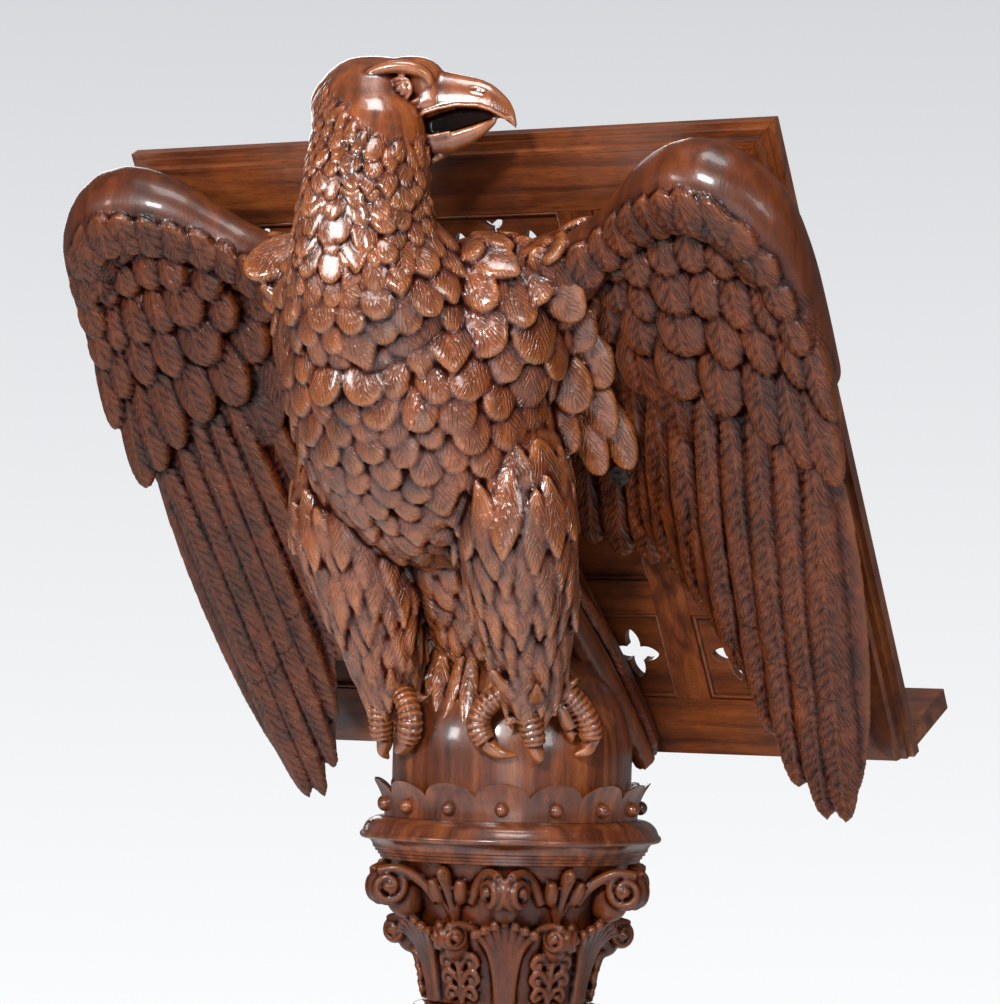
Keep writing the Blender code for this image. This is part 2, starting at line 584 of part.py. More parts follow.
bolt_holes = bmesh.new()
for side in (1, -1):
    add_rod(bolt_holes, BOLT_RADIUS + GAP, (side * MUNTIN_CENTRE, -BOLT_BELOW_CENTRE, -REST_THICKNESS - 0.01),
            (side * MUNTIN_CENTRE, -BOLT_BELOW_CENTRE, 0.1), 16)
bolt_holes = rest_cutter("bolt_holes", mesh_from("bolt_holes", bolt_holes))

for name, edge, inner, sign in (("top_rail", FRAME_TOP, OPENING_TOP, 1),
                                ("bottom_rail", -HALF_LENGTH, OPENING_BOTTOM, -1)):
    shoulder = edge - sign * STILE_WIDTH
    outline = [(-FRAME_HALF_WIDTH + GAP, edge), (FRAME_HALF_WIDTH - GAP, edge),
               (OPENING_HALF_WIDTH - GAP, shoulder), (OPENING_HALF_WIDTH - GAP, inner),
               (-OPENING_HALF_WIDTH + GAP, inner), (-OPENING_HALF_WIDTH + GAP, shoulder)]
    cut(rest_piece(name, prism_mesh(name, outline, -REST_THICKNESS, 0, "Z")), frame_groove)
for name, sign in (("left_stile", 1), ("right_stile", -1)):
    outline = [(sign * FRAME_HALF_WIDTH, -HALF_LENGTH), (sign * FRAME_HALF_WIDTH, FRAME_TOP),
               (sign * OPENING_HALF_WIDTH, FRAME_TOP - STILE_WIDTH),
               (sign * OPENING_HALF_WIDTH, -HALF_LENGTH + STILE_WIDTH)]
    cut(rest_piece(name, prism_mesh(name, outline, -REST_THICKNESS, 0, "Z")), frame_groove)


def bar_outline(low, high):
    """Side view of a bar with a stub tongue at each end."""
    return [(low + GAP, -REST_THICKNESS), (high - GAP, -REST_THICKNESS), (high - GAP, panel_low),
            (high + TONGUE, panel_low), (high + TONGUE, panel_high), (high - GAP, panel_high), (high - GAP, 0),
            (low + GAP, 0), (low + GAP, panel_high), (low - TONGUE, panel_high), (low - TONGUE, panel_low),
            (low + GAP, panel_low)]


half_bar = MUNTIN_WIDTH / 2
spare = 0.001
muntin_laps = bmesh.new()
rail_laps = bmesh.new()
for side in (1, -1):
    for height in CROSS_RAILS.values():
        across = side * MUNTIN_CENTRE
        add_box(muntin_laps, (across - half_bar - spare, height - half_bar - GAP, -REST_THICKNESS - spare),
                (across + half_bar + spare, height + half_bar + GAP, PANEL_DEPTH + GAP / 2))
        add_box(rail_laps, (across - half_bar - GAP, height - half_bar - spare, PANEL_DEPTH - GAP / 2),
                (across + half_bar + GAP, height + half_bar + spare, spare))
muntin_laps = rest_cutter("muntin_laps", mesh_from("muntin_laps", muntin_laps))
rail_laps = rest_cutter("rail_laps", mesh_from("rail_laps", rail_laps))
for name, side in (("left_muntin", 1), ("right_muntin", -1)):
    mesh = prism_mesh(name, bar_outline(OPENING_BOTTOM, OPENING_TOP), side * MUNTIN_CENTRE - half_bar,
                      side * MUNTIN_CENTRE + half_bar, "X")
    cut(rest_piece(name, mesh), panel_grooves, muntin_laps, bolt_holes)
for name, height in CROSS_RAILS.items():
    mesh = prism_mesh(name, bar_outline(-OPENING_HALF_WIDTH, OPENING_HALF_WIDTH), height - half_bar,
                      height + half_bar, "Y")
    cut(rest_piece(name + "_cross_rail", mesh), panel_grooves, rail_laps)


def add_foil(bm, petals, petal_reach, centre, phase=0.0, points=20, waist=0.25):
    """Cuts a light of pointed petals right through a panel; phase is the first petal's turn from +X."""
    rings = []
    for depth in (-REST_THICKNESS * 2, REST_THICKNESS):
        ring = []
        for k in range(points):
            angle = 2 * math.pi * k / points
            reach = petal_reach * (waist + (1 - waist) * abs(math.cos(petals * angle / 2)) ** 1.5)
            ring.append(bm.verts.new((centre[0] + reach * math.cos(angle + phase),
                                      centre[1] + reach * math.sin(angle + phase), depth)))
        rings.append(ring)
    bm.faces.new(rings[0])
    bm.faces.new(list(reversed(rings[1])))
    for i in range(points):
        j = (i + 1) % points
        bm.faces.new((rings[0][j], rings[0][i], rings[1][i], rings[1][j]))


def pierced_cutter(name, left, right, foot, head, cells):
    """A quatrefoil in each cell, and a three-armed light above and below between two cells."""
    bm = bmesh.new()
    cell = (right - left) / cells
    middle = (foot + head) / 2
    for k in range(cells):
        add_foil(bm, 4, QUATREFOIL_REACH, (left + cell * (k + 0.5), middle))
        for sign in (1, -1) if k else ():
            add_foil(bm, 3, SPANDREL_REACH, (left + cell * k, middle + sign * (head - foot) * SPANDREL_HEIGHT),
                     -sign * math.pi / 2, 12)
    return rest_cutter(name, mesh_from(name, bm))


for column, (left, right, cells) in COLUMNS.items():
    for row, (foot, head) in ROWS.items():
        name = f"{row}_{column}_panel"
        panel = rest_piece(name, box_mesh(name, (left - TONGUE, foot - TONGUE, panel_low),
                                          (right + TONGUE, head + TONGUE, panel_high)))
        if row != "middle":
            cut(panel, pierced_cutter(name + "_lights", left, right, foot, head, cells))

# Stepped edge moulding: distance in from the rest's outer edge, and depth.
first_step = 0.3 * MOULDING_WIDTH
second_step = 0.65 * MOULDING_WIDTH
moulding_steps = [(0, -REST_THICKNESS), (0, -2 * MOULDING_STEP), (first_step, -2 * MOULDING_STEP),
                  (first_step, -MOULDING_STEP), (second_step, -MOULDING_STEP),
                  (second_step + MOULDING_STEP / 2, 0), (MOULDING_WIDTH - GAP, 0),
                  (MOULDING_WIDTH - GAP, -REST_THICKNESS)]
for name, sign in (("left_moulding", 1), ("right_moulding", -1)):
    outline = [(sign * (HALF_WIDTH - inset), depth) for inset, depth in moulding_steps]
    rest_piece(name, prism_mesh(name, outline, -HALF_LENGTH,
                                lambda x, z: HALF_LENGTH - (HALF_WIDTH - abs(x)) - GAP, "Y"))
outline = [(HALF_LENGTH - inset, depth) for inset, depth in moulding_steps]
rest_piece("top_moulding", prism_mesh("top_moulding", outline, lambda y, z: -HALF_WIDTH + (HALF_LENGTH - y),
                                      lambda y, z: HALF_WIDTH - (HALF_LENGTH - y), "X"))

ledge_foot = -HALF_LENGTH + LEDGE_RISE
rest_piece("book_ledge", box_mesh("book_ledge", (-HALF_WIDTH, ledge_foot, -REST_THICKNESS - GAP - LEDGE_DEPTH),
                                  (HALF_WIDTH, ledge_foot + LEDGE_THICKNESS, -REST_THICKNESS - GAP)))

nut_foot = WING_ROOT_THICKNESS + GAP
for side, word in ((1, "left"), (-1, "right")):
    foot = (side * MUNTIN_CENTRE, -BOLT_BELOW_CENTRE, -REST_THICKNESS - GAP)
    head = (foot[0], foot[1], nut_foot + NUT_HEIGHT + BOLT_END)
    neck = (foot[0], foot[1], foot[2] - BOLT_HEAD_HEIGHT)
    middle = (foot[0], foot[1], foot[2] - BOLT_HEAD_HEIGHT / 2)
    bolt = rest_piece(word + "_bolt", rod_mesh(word + "_bolt", BOLT_RADIUS, middle, head, 16), IRON)
    modify(bolt, "UNION", rest_cutter(word + "_bolt_head", rod_mesh("head", BOLT_HEAD_RADIUS, neck, foot, 16)))
    nut = rest_piece(word + "_nut", rod_mesh(word + "_nut", NUT_RADIUS, (foot[0], foot[1], nut_foot),
                                             (foot[0], foot[1], nut_foot + NUT_HEIGHT), 6), IRON)
    cut(nut, bolt_holes)

# ---------------------------------------------------------------- wings
# Outline of the wing at +X in the rest's frame, from the body round the wrist and tip and back.
WING_OUTLINE = (
    (0.040, 0.205), (0.127, 0.222), (0.180, 0.242), (0.222, 0.270), (0.240, 0.292), (0.263, 0.304),
    (0.285, 0.308), (0.310, 0.303), (0.330, 0.288), (0.350, 0.258), (0.364, 0.225), (0.369, 0.180),
    (0.370, 0.118), (0.366, 0.062),
    (0.352, -0.010), (0.336, -0.070), (0.322, -0.133), (0.307, -0.200), (0.293, -0.260), (0.280, -0.303),
    (0.270, -0.310), (0.248, -0.283), (0.235, -0.262), (0.231, -0.216), (0.210, -0.159), (0.185, -0.126),
    (0.165, -0.098), (0.107, -0.094), (0.060, -0.080),
)
# Centre line of the wing's arm: place in the rest's frame, and radius.
WING_ARM = (
    ((0.080, 0.165, 0.070), 0.042), ((0.120, 0.188, 0.058), 0.036), ((0.160, 0.204, 0.052), 0.030),
    ((0.200, 0.226, 0.052), 0.028), ((0.240, 0.258, 0.057), 0.032), ((0.288, 0.270, 0.062), 0.036),
    ((0.330, 0.238, 0.060), 0.033), ((0.340, 0.190, 0.058), 0.027), ((0.345, 0.130, 0.056), 0.022),
    ((0.348, 0.060, 0.055), 0.016),
)
WING_LIFT_START = 0.100
WING_LIFT_END = 0.250


def add_chain(bm, chain, segments=14):
    """Round links of changing radius from place to place."""
    for place, radius in chain:
        add_ball(bm, place, [radius] * 3, segments=segments, rings=10)
    for (foot, radius), (head, radius_head) in zip(chain, chain[1:]):
        add_rod(bm, radius, foot, head, segments, radius_head)


blade = add_cutter("wing_blade", prism_mesh("wing_blade", WING_OUTLINE, -WING_BLADE_THICKNESS / 2,
                                            WING_BLADE_THICKNESS / 2, "Z"))
melt = blade.modifiers.new("melt", "REMESH")
melt.mode = "VOXEL"
melt.voxel_size = VOXEL
settle(blade)
for vertex in blade.data.vertices:
    rise = min(1, max(0, (vertex.co.x - WING_LIFT_START) / (WING_LIFT_END - WING_LIFT_START)))
    vertex.co.z += WING_BLADE_THICKNESS / 2 - 0.001 + WING_TIP_LIFT * rise * rise * (3 - 2 * rise)
bm = bmesh.new()
bm.from_mesh(blade.data)
bpy.data.objects.remove(blade)
add_chain(bm, WING_ARM)
wing_form = carve("wing_form", bm, VOXEL, 950, cutters)
settle(wing_form)
wing_form.hide_render = True
wing_form.display_type = "WIRE"
mirrored = wing_form.data.copy()
mirrored.transform(Matrix.Diagonal((-1, 1, 1, 1)))
mirrored.flip_normals()
WING_MESHES = {1: wing_form.data, -1: mirrored}

# Nothing of the eagle reaches behind the rest's underside.
rest_clearance = rest_cutter("rest_clearance", box_mesh("rest_clearance", (-0.6, -0.6, -0.2), (0.6, 0.6, GAP)))


def joint_frame(side):
    place = Vector((side * WING_JOINT_HALF_SPAN, WING_JOINT_HEIGHT, 0))
    return REST_FRAME @ Matrix.LocRotScale(place, Euler((0, 0, side * WING_JOINT_LEAN)), None)


DOWEL_PLACE = (0, -0.020, 0.052)
inner_wings = []
for side, word in ((1, "left"), (-1, "right")):
    frame = joint_frame(side)
    reach = sorted((-side * 0.5, side * GAP / 2))
    inward = add_cutter(word + "_inner_side", box_mesh("inner_side", (reach[0], -0.8, -0.2),
                                                       (reach[1], 0.4, 0.3)), frame)
    reach = sorted((side * 0.5, -side * GAP / 2))
    outward = add_cutter(word + "_outer_side", box_mesh("outer_side", (reach[0], -0.8, -0.2),
                                                        (reach[1], 0.4, 0.3)), frame)
    x, y, z = DOWEL_PLACE
    ends = [(x + k * DOWEL_LENGTH / 2, y, z) for k in (-1, 1)]
    add_object(word + "_wing_dowel", rod_mesh("wing_dowel", DOWEL_RADIUS, *ends, 16), DOWEL, frame=frame)
    ends = [(x + k * (DOWEL_LENGTH / 2 + GAP), y, z) for k in (-1, 1)]
    dowel_hole = add_cutter(word + "_dowel_hole", rod_mesh("dowel_hole", DOWEL_RADIUS + GAP, *ends, 16), frame)
    wing = add_object(word + "_wing", WING_MESHES[side].copy(), CARVED, frame=REST_FRAME)
    cut(wing, inward, rest_clearance, dowel_hole)
    root = add_cutter(word + "_wing_root", WING_MESHES[side].copy(), REST_FRAME)
    cut(root, outward)
    settle(root)
    inner_wings.append((root, dowel_hole))

# ---------------------------------------------------------------- eagle
to_rest = REST_FRAME.inverted()
HEAD_TURN = math.radians(15)                 # the beak points to +X, turned this much towards the reader
HEAD_CENTRE = Vector((0, -0.222, 0.545))     # above the dome's foot


def above_dome(x, y, z):
    return to_rest @ Vector((x, y, DOME_FOOT + z))


def on_head(forward, height, aside=0.0):
    """A point on the head: along the beak, above the head's centre and to one side."""
    direction = Vector((math.cos(HEAD_TURN), math.sin(HEAD_TURN), 0))
    across = Vector((-direction.y, direction.x, 0))
    return above_dome(*(HEAD_CENTRE + direction * forward + across * aside + Vector((0, 0, height))))


bm = bmesh.new()
add_ball(bm, (0, 0.108, 0.112), (0.108, 0.150, 0.104))              # breast and back
add_ball(bm, (0, 0.205, 0.132), (0.078, 0.080, 0.074))              # crop
add_ball(bm, (0, 0.000, 0.085), (0.078, 0.090, 0.070))              # rump
add_chain(bm, [(above_dome(0, -0.243, 0.400), 0.060), (above_dome(0, -0.250, 0.455), 0.048),
               (above_dome(0, -0.240, 0.505), 0.045), (on_head(-0.012, -0.014), 0.046),
               (on_head(0.018, 0.000), 0.036)], 18)
add_chain(bm, [(on_head(0.010, 0.004), 0.029), (on_head(0.052, -0.004), 0.020),
               (on_head(0.082, -0.003), 0.0125), (on_head(0.101, -0.012), 0.0085),
               (on_head(0.112, -0.027), 0.0030)], 14)
add_chain(bm, [(on_head(0.012, -0.038), 0.018), (on_head(0.058, -0.040), 0.0105),
               (on_head(0.093, -0.024), 0.0035)], 12)
for side in (1, -1):
    add_ball(bm, (side * 0.075, 0.160, 0.085), (0.050, 0.075, 0.060))
    add_chain(bm, [(above_dome(side * 0.080, -0.138, 0.245), 0.044),
                   (above_dome(side * 0.082, -0.135, 0.195), 0.050),
                   (above_dome(side * 0.077, -0.112, 0.140), 0.042),
                   (above_dome(side * 0.070, -0.088, 0.090), 0.030),
                   (above_dome(side * ankle.x, ankle.y, ANKLE_HEIGHT - 0.02), 0.024)], 16)
eagle = carve("eagle_body", bm, 0.0055, 1500, lectern, REST_FRAME)
settle(eagle)
for root, dowel_hole in inner_wings:
    modify(eagle, "UNION", root)
nut_seats = bmesh.new()
for side in (1, -1):
    add_rod(nut_seats, NUT_RADIUS + 0.003, (side * MUNTIN_CENTRE, -BOLT_BELOW_CENTRE, WING_ROOT_THICKNESS),
            (side * MUNTIN_CENTRE, -BOLT_BELOW_CENTRE, WING_ROOT_THICKNESS + 0.06), 20)
nut_seats = rest_cutter("nut_seats", mesh_from("nut_seats", nut_seats))
below_ankles = add_cutter("below_ankles", box_mesh("below_ankles", (-0.3, -0.4, ankle.z - 0.3),
                                                   (0.3, 0.2, ankle.z + GAP)))
dome_clearance = turned("dome_clearance", dome_profile(GAP), DOWEL, 48, cutters)
dome_clearance.hide_render = True
dome_clearance.display_type = "WIRE"
tail_side = rest_cutter("tail_side", box_mesh("tail_side", (-TAIL_SEAT_HALF, -0.5, -0.1),
                                              (TAIL_SEAT_HALF, -TAIL_SEAT_BELOW, TAIL_SEAT_DEPTH)))
cut(eagle, rest_clearance, below_ankles, dome_clearance, tail_side, ankle_holes, bolt_holes, nut_seats,
    *[hole for root, hole in inner_wings])
for side, word in ((1, "left"), (-1, "right")):
    ends = [(side * ankle.x, ankle.y, ankle.z + k * DOWEL_LENGTH / 2) for k in (-1, 1)]
    add_object(word + "_leg_dowel", rod_mesh("leg_dowel", DOWEL_RADIUS, *ends, 16), DOWEL)

# Tail: place down the slope, half width, and nearest and furthest depth in front of the rest.
TAIL = (
    (TAIL_SEAT_BELOW + GAP, 0.046, 0.008, 0.078), (0.090, 0.050, 0.004, 0.062), (0.143, 0.061, 0.001, 0.058),
    (0.190, 0.073, 0.000, 0.054), (0.240, 0.084, 0.000, 0.050), (0.272, 0.086, 0.000, 0.040),
    (0.286, 0.080, 0.000, 0.034),
)
bm = bmesh.new()
rings = []
for below, half, near, far in TAIL:
    ring = []
    for k in range(16):
        angle = 2 * math.pi * k / 16
        squarish = [math.copysign(abs(f) ** 0.6, f) for f in (math.cos(angle), math.sin(angle))]
        depth = (near + far) / 2 + (far - near) / 2 * squarish[1]
        ring.append(bm.verts.new((half * squarish[0], -below, depth)))
    rings.append(ring)
bm.faces.new(rings[0])
bm.faces.new(list(reversed(rings[-1])))
for first, second in zip(rings, rings[1:]):
    for k in range(16):
        bm.faces.new((first[k], second[k], second[(k + 1) % 16], first[(k + 1) % 16]))
tail = add_object("tail", mesh_from("tail", bm), CARVED, frame=REST_FRAME)
cut(tail, dome_clearance, rest_clearance)

for piece in lectern.objects:
    piece.data.shade_smooth()
    piece.data.set_sharp_from_angle(angle=math.radians(35))
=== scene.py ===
# %% [markdown]
# # An eagle lectern in carved walnut
# The real lectern is joinery, turning and carving: a panelled book rest, a turned stem and cap, and an
# eagle cut from one block with its wings glued on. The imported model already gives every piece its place
# and its joints. This script keeps that frame, and gives the pieces their carving, mouldings and polish.

# %% Load the frame
import json
import math

import bpy
import numpy as np
from mathutils import Euler, Matrix, Vector
from mathutils.bvhtree import BVHTree


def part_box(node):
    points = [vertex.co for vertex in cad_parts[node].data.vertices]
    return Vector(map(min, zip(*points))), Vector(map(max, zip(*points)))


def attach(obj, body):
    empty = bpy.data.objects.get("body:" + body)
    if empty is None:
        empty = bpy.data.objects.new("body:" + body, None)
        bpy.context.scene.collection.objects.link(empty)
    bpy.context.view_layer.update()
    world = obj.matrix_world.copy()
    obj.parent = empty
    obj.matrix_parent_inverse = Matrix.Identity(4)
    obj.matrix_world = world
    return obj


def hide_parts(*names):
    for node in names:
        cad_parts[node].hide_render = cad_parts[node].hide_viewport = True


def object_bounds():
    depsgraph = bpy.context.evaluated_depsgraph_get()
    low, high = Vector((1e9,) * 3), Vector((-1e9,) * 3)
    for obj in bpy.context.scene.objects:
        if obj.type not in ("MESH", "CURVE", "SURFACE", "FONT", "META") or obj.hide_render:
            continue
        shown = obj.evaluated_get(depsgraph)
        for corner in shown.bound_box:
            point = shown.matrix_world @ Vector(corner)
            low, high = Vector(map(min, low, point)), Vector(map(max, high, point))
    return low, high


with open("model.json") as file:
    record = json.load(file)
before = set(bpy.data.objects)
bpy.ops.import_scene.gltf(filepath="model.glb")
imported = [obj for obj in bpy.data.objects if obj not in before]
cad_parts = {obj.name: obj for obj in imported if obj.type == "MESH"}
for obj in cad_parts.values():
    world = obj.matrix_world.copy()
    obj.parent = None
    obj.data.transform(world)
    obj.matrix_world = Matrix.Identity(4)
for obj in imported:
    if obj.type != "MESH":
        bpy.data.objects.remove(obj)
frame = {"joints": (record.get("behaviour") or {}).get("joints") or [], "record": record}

cad_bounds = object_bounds()
MM = 0.001
random = np.random.default_rng(7)
print("CAD box", cad_bounds)

# %% [markdown]
# ## Materials
# The lectern is walnut that has been waxed and handled for generations. The hollows are painted dark:
# painted shade for the shadow in each cut, together with the dark wax that stays there. The ridges are
# rubbed to a warm red-brown. A picture of that shade and wear could be painted on, but a number
# measured on the shape fits any carving: "hollow", stored on each vertex, says how deep it lies below its
# surroundings. A second stored value, "feather", says where on its feather a vertex lies, and fine barbs
# are cut along it as a bump.

# %% Colour and node helpers
def linear(code):
    """An sRGB hex colour as linear RGBA."""
    parts = [int(code[i:i + 2], 16) / 255 for i in (1, 3, 5)]
    return (*[c / 12.92 if c <= 0.04045 else ((c + 0.055) / 1.055) ** 2.4 for c in parts], 1.0)


def add_node(tree, kind, links=None, **settings):
    """A node with its settings, and its inputs linked or set by name or number."""
    node = tree.nodes.new(kind)
    for key, value in settings.items():
        setattr(node, key, value)
    for key, value in (links or {}).items():
        if isinstance(value, bpy.types.NodeSocket):
            tree.links.new(value, node.inputs[key])
        else:
            node.inputs[key].default_value = value
    return node


def ramp(tree, factor, stops):
    """A colour ramp through (place, hex) stops."""
    node = add_node(tree, "ShaderNodeValToRGB", {"Fac": factor})
    while len(node.color_ramp.elements) < len(stops):
        node.color_ramp.elements.new(0.5)
    for element, (place, code) in zip(node.color_ramp.elements, stops):
        element.position = place
        element.color = linear(code)
    return node.outputs["Color"]


# %% Walnut: broad figure, fine dark pores and uneven stain, under a coat of wax
def walnut(name, grain_axis, tones, roughness=0.34, carved=False, barbs=0.0, worn_to="#a8642f", wax=0.55):
    """Waxed walnut. Grain runs along grain_axis, and tones are its dark, middle and light colours."""
    material = bpy.data.materials.new(name)
    material.use_nodes = True
    tree = material.node_tree
    shader = tree.nodes["Principled BSDF"]
    places = add_node(tree, "ShaderNodeTexCoord").outputs["Object"]
    along = [1.0, 1.0, 1.0]
    along["XYZ".index(grain_axis)] = 0.09
    turned = add_node(tree, "ShaderNodeMapping", {"Vector": places, "Scale": along})
    grain_at = turned.outputs["Vector"]
    figure = add_node(tree, "ShaderNodeTexNoise", {"Vector": grain_at, "Scale": 1 / (14 * MM), "Detail": 3.0,
                                                   "Roughness": 0.55, "Distortion": 0.6}).outputs["Fac"]
    pores = add_node(tree, "ShaderNodeTexNoise", {"Vector": grain_at, "Scale": 1 / (0.9 * MM), "Detail": 2.0,
                                                  "Roughness": 0.6}).outputs["Fac"]
    patches = add_node(tree, "ShaderNodeTexNoise", {"Vector": places, "Scale": 1 / (70 * MM), "Detail": 3.0,
                                                    "Roughness": 0.6}).outputs["Fac"]
    wood = ramp(tree, figure, [(0.28, tones[0]), (0.50, tones[1]), (0.74, tones[2])])
    dark_pores = ramp(tree, pores, [(0.30, "#5a4438"), (0.48, "#ffffff")])
    wood = add_node(tree, "ShaderNodeMix", {0: 0.55, 6: wood, 7: dark_pores}, data_type="RGBA",
                    blend_type="MULTIPLY").outputs[2]
    stain = ramp(tree, patches, [(0.30, "#a08a80"), (0.62, "#ffffff")])
    wood = add_node(tree, "ShaderNodeMix", {0: 0.8, 6: wood, 7: stain}, data_type="RGBA",
                    blend_type="MULTIPLY").outputs[2]
    height = add_node(tree, "ShaderNodeMath", {0: pores, 1: 0.18}, operation="MULTIPLY").outputs[0]
    gloss = add_node(tree, "ShaderNodeMapRange", {"Value": patches, "From Min": 0.3, "From Max": 0.7,
                                                  "To Min": roughness + 0.08,
                                                  "To Max": roughness - 0.06}).outputs[0]
    if carved:
        hollow = add_node(tree, "ShaderNodeAttribute", attribute_name="hollow").outputs["Fac"]
        # Painted shade: the deeper a vertex lies, the darker its colour is multiplied, standing for the
        # shadow in the cut together with dark wax.
        shade = ramp(tree, hollow,
                     [(0.0, "#ffffff"), (0.42, "#f4ece6"), (0.60, "#8a6a5a"), (0.85, "#33201a")])
        wood = add_node(tree, "ShaderNodeMix", {0: 1.0, 6: wood, 7: shade}, data_type="RGBA",
                        blend_type="MULTIPLY").outputs[2]
        worn = add_node(tree, "ShaderNodeMapRange", {"Value": hollow, "From Min": 0.40, "From Max": 0.12,
                                                     "To Min": 0.0, "To Max": 0.42}).outputs[0]
        wood = add_node(tree, "ShaderNodeMix", {0: worn, 6: wood, 7: linear(worn_to)},
                        data_type="RGBA").outputs[2]
        dusty = add_node(tree, "ShaderNodeMapRange", {"Value": hollow, "From Min": 0.5, "From Max": 0.8,
                                                      "To Min": 0.0, "To Max": 0.30}).outputs[0]
        gloss = add_node(tree, "ShaderNodeMath", {0: gloss, 1: dusty}, operation="ADD").outputs[0]
        polish = add_node(tree, "ShaderNodeMapRange", {"Value": hollow, "From Min": 0.40, "From Max": 0.66,
                                                       "To Min": 1.0, "To Max": 0.06}).outputs[0]
        for name, most in (("Specular IOR Level", 0.2 + 0.5 * wax), ("Coat Weight", wax)):
            level = add_node(tree, "ShaderNodeMath", {0: polish, 1: most}, operation="MULTIPLY").outputs[0]
            tree.links.new(level, shader.inputs[name])
    if barbs:
        lie = add_node(tree, "ShaderNodeAttribute", attribute_name="feather").outputs["Vector"]
        split = add_node(tree, "ShaderNodeSeparateXYZ", {"Vector": lie})
        aside = add_node(tree, "ShaderNodeMath", {0: split.outputs["X"]}, operation="ABSOLUTE").outputs[0]
        slant = add_node(tree, "ShaderNodeMath", {0: split.outputs["Y"], 1: -0.42, 2: aside},
                         operation="MULTIPLY_ADD").outputs[0]
        drift = add_node(tree, "ShaderNodeTexNoise",
                         {"Vector": places, "Scale": 1 / (16 * MM), "Detail": 2.0}).outputs["Fac"]
        slant = add_node(tree, "ShaderNodeMath", {0: drift, 1: 9 * MM, 2: slant},
                         operation="MULTIPLY_ADD").outputs[0]
        line = add_node(tree, "ShaderNodeCombineXYZ", {"X": slant}).outputs[0]
        wave = add_node(tree, "ShaderNodeTexWave", {"Vector": line, "Scale": 2 * math.pi / (20 * 3.6 * MM),
                                                    "Distortion": 0.4, "Detail": 1.0, "Detail Scale": 2.0},
                        wave_type="BANDS", bands_direction="X").outputs["Fac"]
        groove = add_node(tree, "ShaderNodeMapRange",
                          {"Value": wave, "From Min": 0.0, "From Max": 0.45}).outputs[0]
        faint = add_node(tree, "ShaderNodeTexNoise",
                         {"Vector": places, "Scale": 1 / (9 * MM), "Detail": 1.0}).outputs["Fac"]
        faint = add_node(tree, "ShaderNodeMapRange",
                         {"Value": faint, "From Min": 0.35, "From Max": 0.62}).outputs[0]
        cuts = add_node(tree, "ShaderNodeMath", {0: split.outputs["Z"], 1: faint},
                        operation="MULTIPLY").outputs[0]
        cuts = add_node(tree, "ShaderNodeMath", {0: groove, 1: cuts}, operation="MULTIPLY").outputs[0]
        height = add_node(tree, "ShaderNodeMath", {0: cuts, 1: barbs, 2: height},
                          operation="MULTIPLY_ADD").outputs[0]
    bump = add_node(tree, "ShaderNodeBump", {"Height": height, "Strength": 0.9, "Distance": 1.2 * MM})
    tree.links.new(wood, shader.inputs["Base Color"])
    tree.links.new(gloss, shader.inputs["Roughness"])
    tree.links.new(bump.outputs["Normal"], shader.inputs["Normal"])
    shader.inputs["IOR"].default_value = 1.5
    if not carved:
        shader.inputs["Specular IOR Level"].default_value = 0.2 + 0.5 * wax
        shader.inputs["Coat Weight"].default_value = wax
    shader.inputs["Coat Roughness"].default_value = 0.13
    shader.inputs["Coat IOR"].default_value = 1.45
    return material


CARVED = walnut("carved_walnut_waxed", "Z", ("#3a190b", "#733515", "#9a5223"), 0.27, carved=True, barbs=1.0,
                wax=0.8)
# The wings and the capital are given darker tones of the same walnut and less wax gloss. The darker tones are
# painted shade, for the weaker light that reaches them.
SHADED = walnut("carved_walnut_painted_shade", "Z", ("#240d05", "#4e200b", "#703412"),
                0.36, carved=True, barbs=1.0,
                worn_to="#7c4019", wax=0.25)
print("carving finishes:", CARVED.name, "and", SHADED.name)

# %% [markdown]
# ## Carving
# A carver roughs out a block, then sets in one lobe after another. Brushes in sculpt mode would copy
# that, but they need a hand to guide them. Here a block is rough forms joined together, and each lobe is
# a copy of one feather blank, sunk into the block. A voxel Remesh melts them into one skin, and the last
# pass thins it.

# %% Choosing and joining pieces
def deselect():
    for chosen in list(bpy.context.selected_objects):
        chosen.select_set(False)


def use(piece):
    deselect()
    piece.select_set(True)
    bpy.context.view_layer.objects.active = piece


def join(pieces, name):
    deselect()
    for piece in pieces:
        piece.select_set(True)
    bpy.context.view_layer.objects.active = pieces[0]
    bpy.ops.object.transform_apply(location=True, rotation=True, scale=True)
    if len(pieces) > 1:
        bpy.ops.object.join()
    pieces[0].name = name
    return pieces[0]


def apply_modifier(piece, kind, **settings):
    use(piece)
    modifier = piece.modifiers.new(kind.lower(), kind)
    for key, value in settings.items():
        setattr(modifier, key, value)
    bpy.ops.object.modifier_apply(modifier=modifier.name)


# %% Reading and moving vertices
def vertices_of(mesh):
    places = np.empty(len(mesh.vertices) * 3)
    mesh.vertices.foreach_get("co", places)
    return places.reshape(-1, 3)


def normals_of(mesh):
    normals = np.empty(len(mesh.vertices) * 3)
    mesh.vertices.foreach_get("normal", normals)
    return normals.reshape(-1, 3)


def set_vertices(mesh, places):
    mesh.vertices.foreach_set("co", np.asarray(places, dtype=np.float32).ravel())
    mesh.update()


def edges_of(mesh):
    ends = np.empty(len(mesh.edges) * 2, dtype=np.int64)
    mesh.edges.foreach_get("vertices", ends)
    return ends.reshape(-1, 2)


def relax(values, ends, rounds, pull=0.6):
    """Average each vertex with its neighbours, again and again."""
    count = len(values)
    both = np.concatenate([ends[:, 0], ends[:, 1]])
    other = np.concatenate([ends[:, 1], ends[:, 0]])
    share = np.bincount(both, minlength=count)[:, None].clip(1)
    for _ in range(rounds):
        total = np.stack([np.bincount(both, values[other, k], count) for k in range(values.shape[1])],
                         axis=1)
        values = values + pull * (total / share - values)
    return values


# %% Rough forms: balls, rods and chains of both
def ball(place, radii, turn=(0, 0, 0), segments=24, rings=14):
    deselect()
    bpy.ops.mesh.primitive_uv_sphere_add(segments=segments, ring_count=rings, radius=1, location=place,
                                         rotation=turn, scale=radii)
    return bpy.context.object


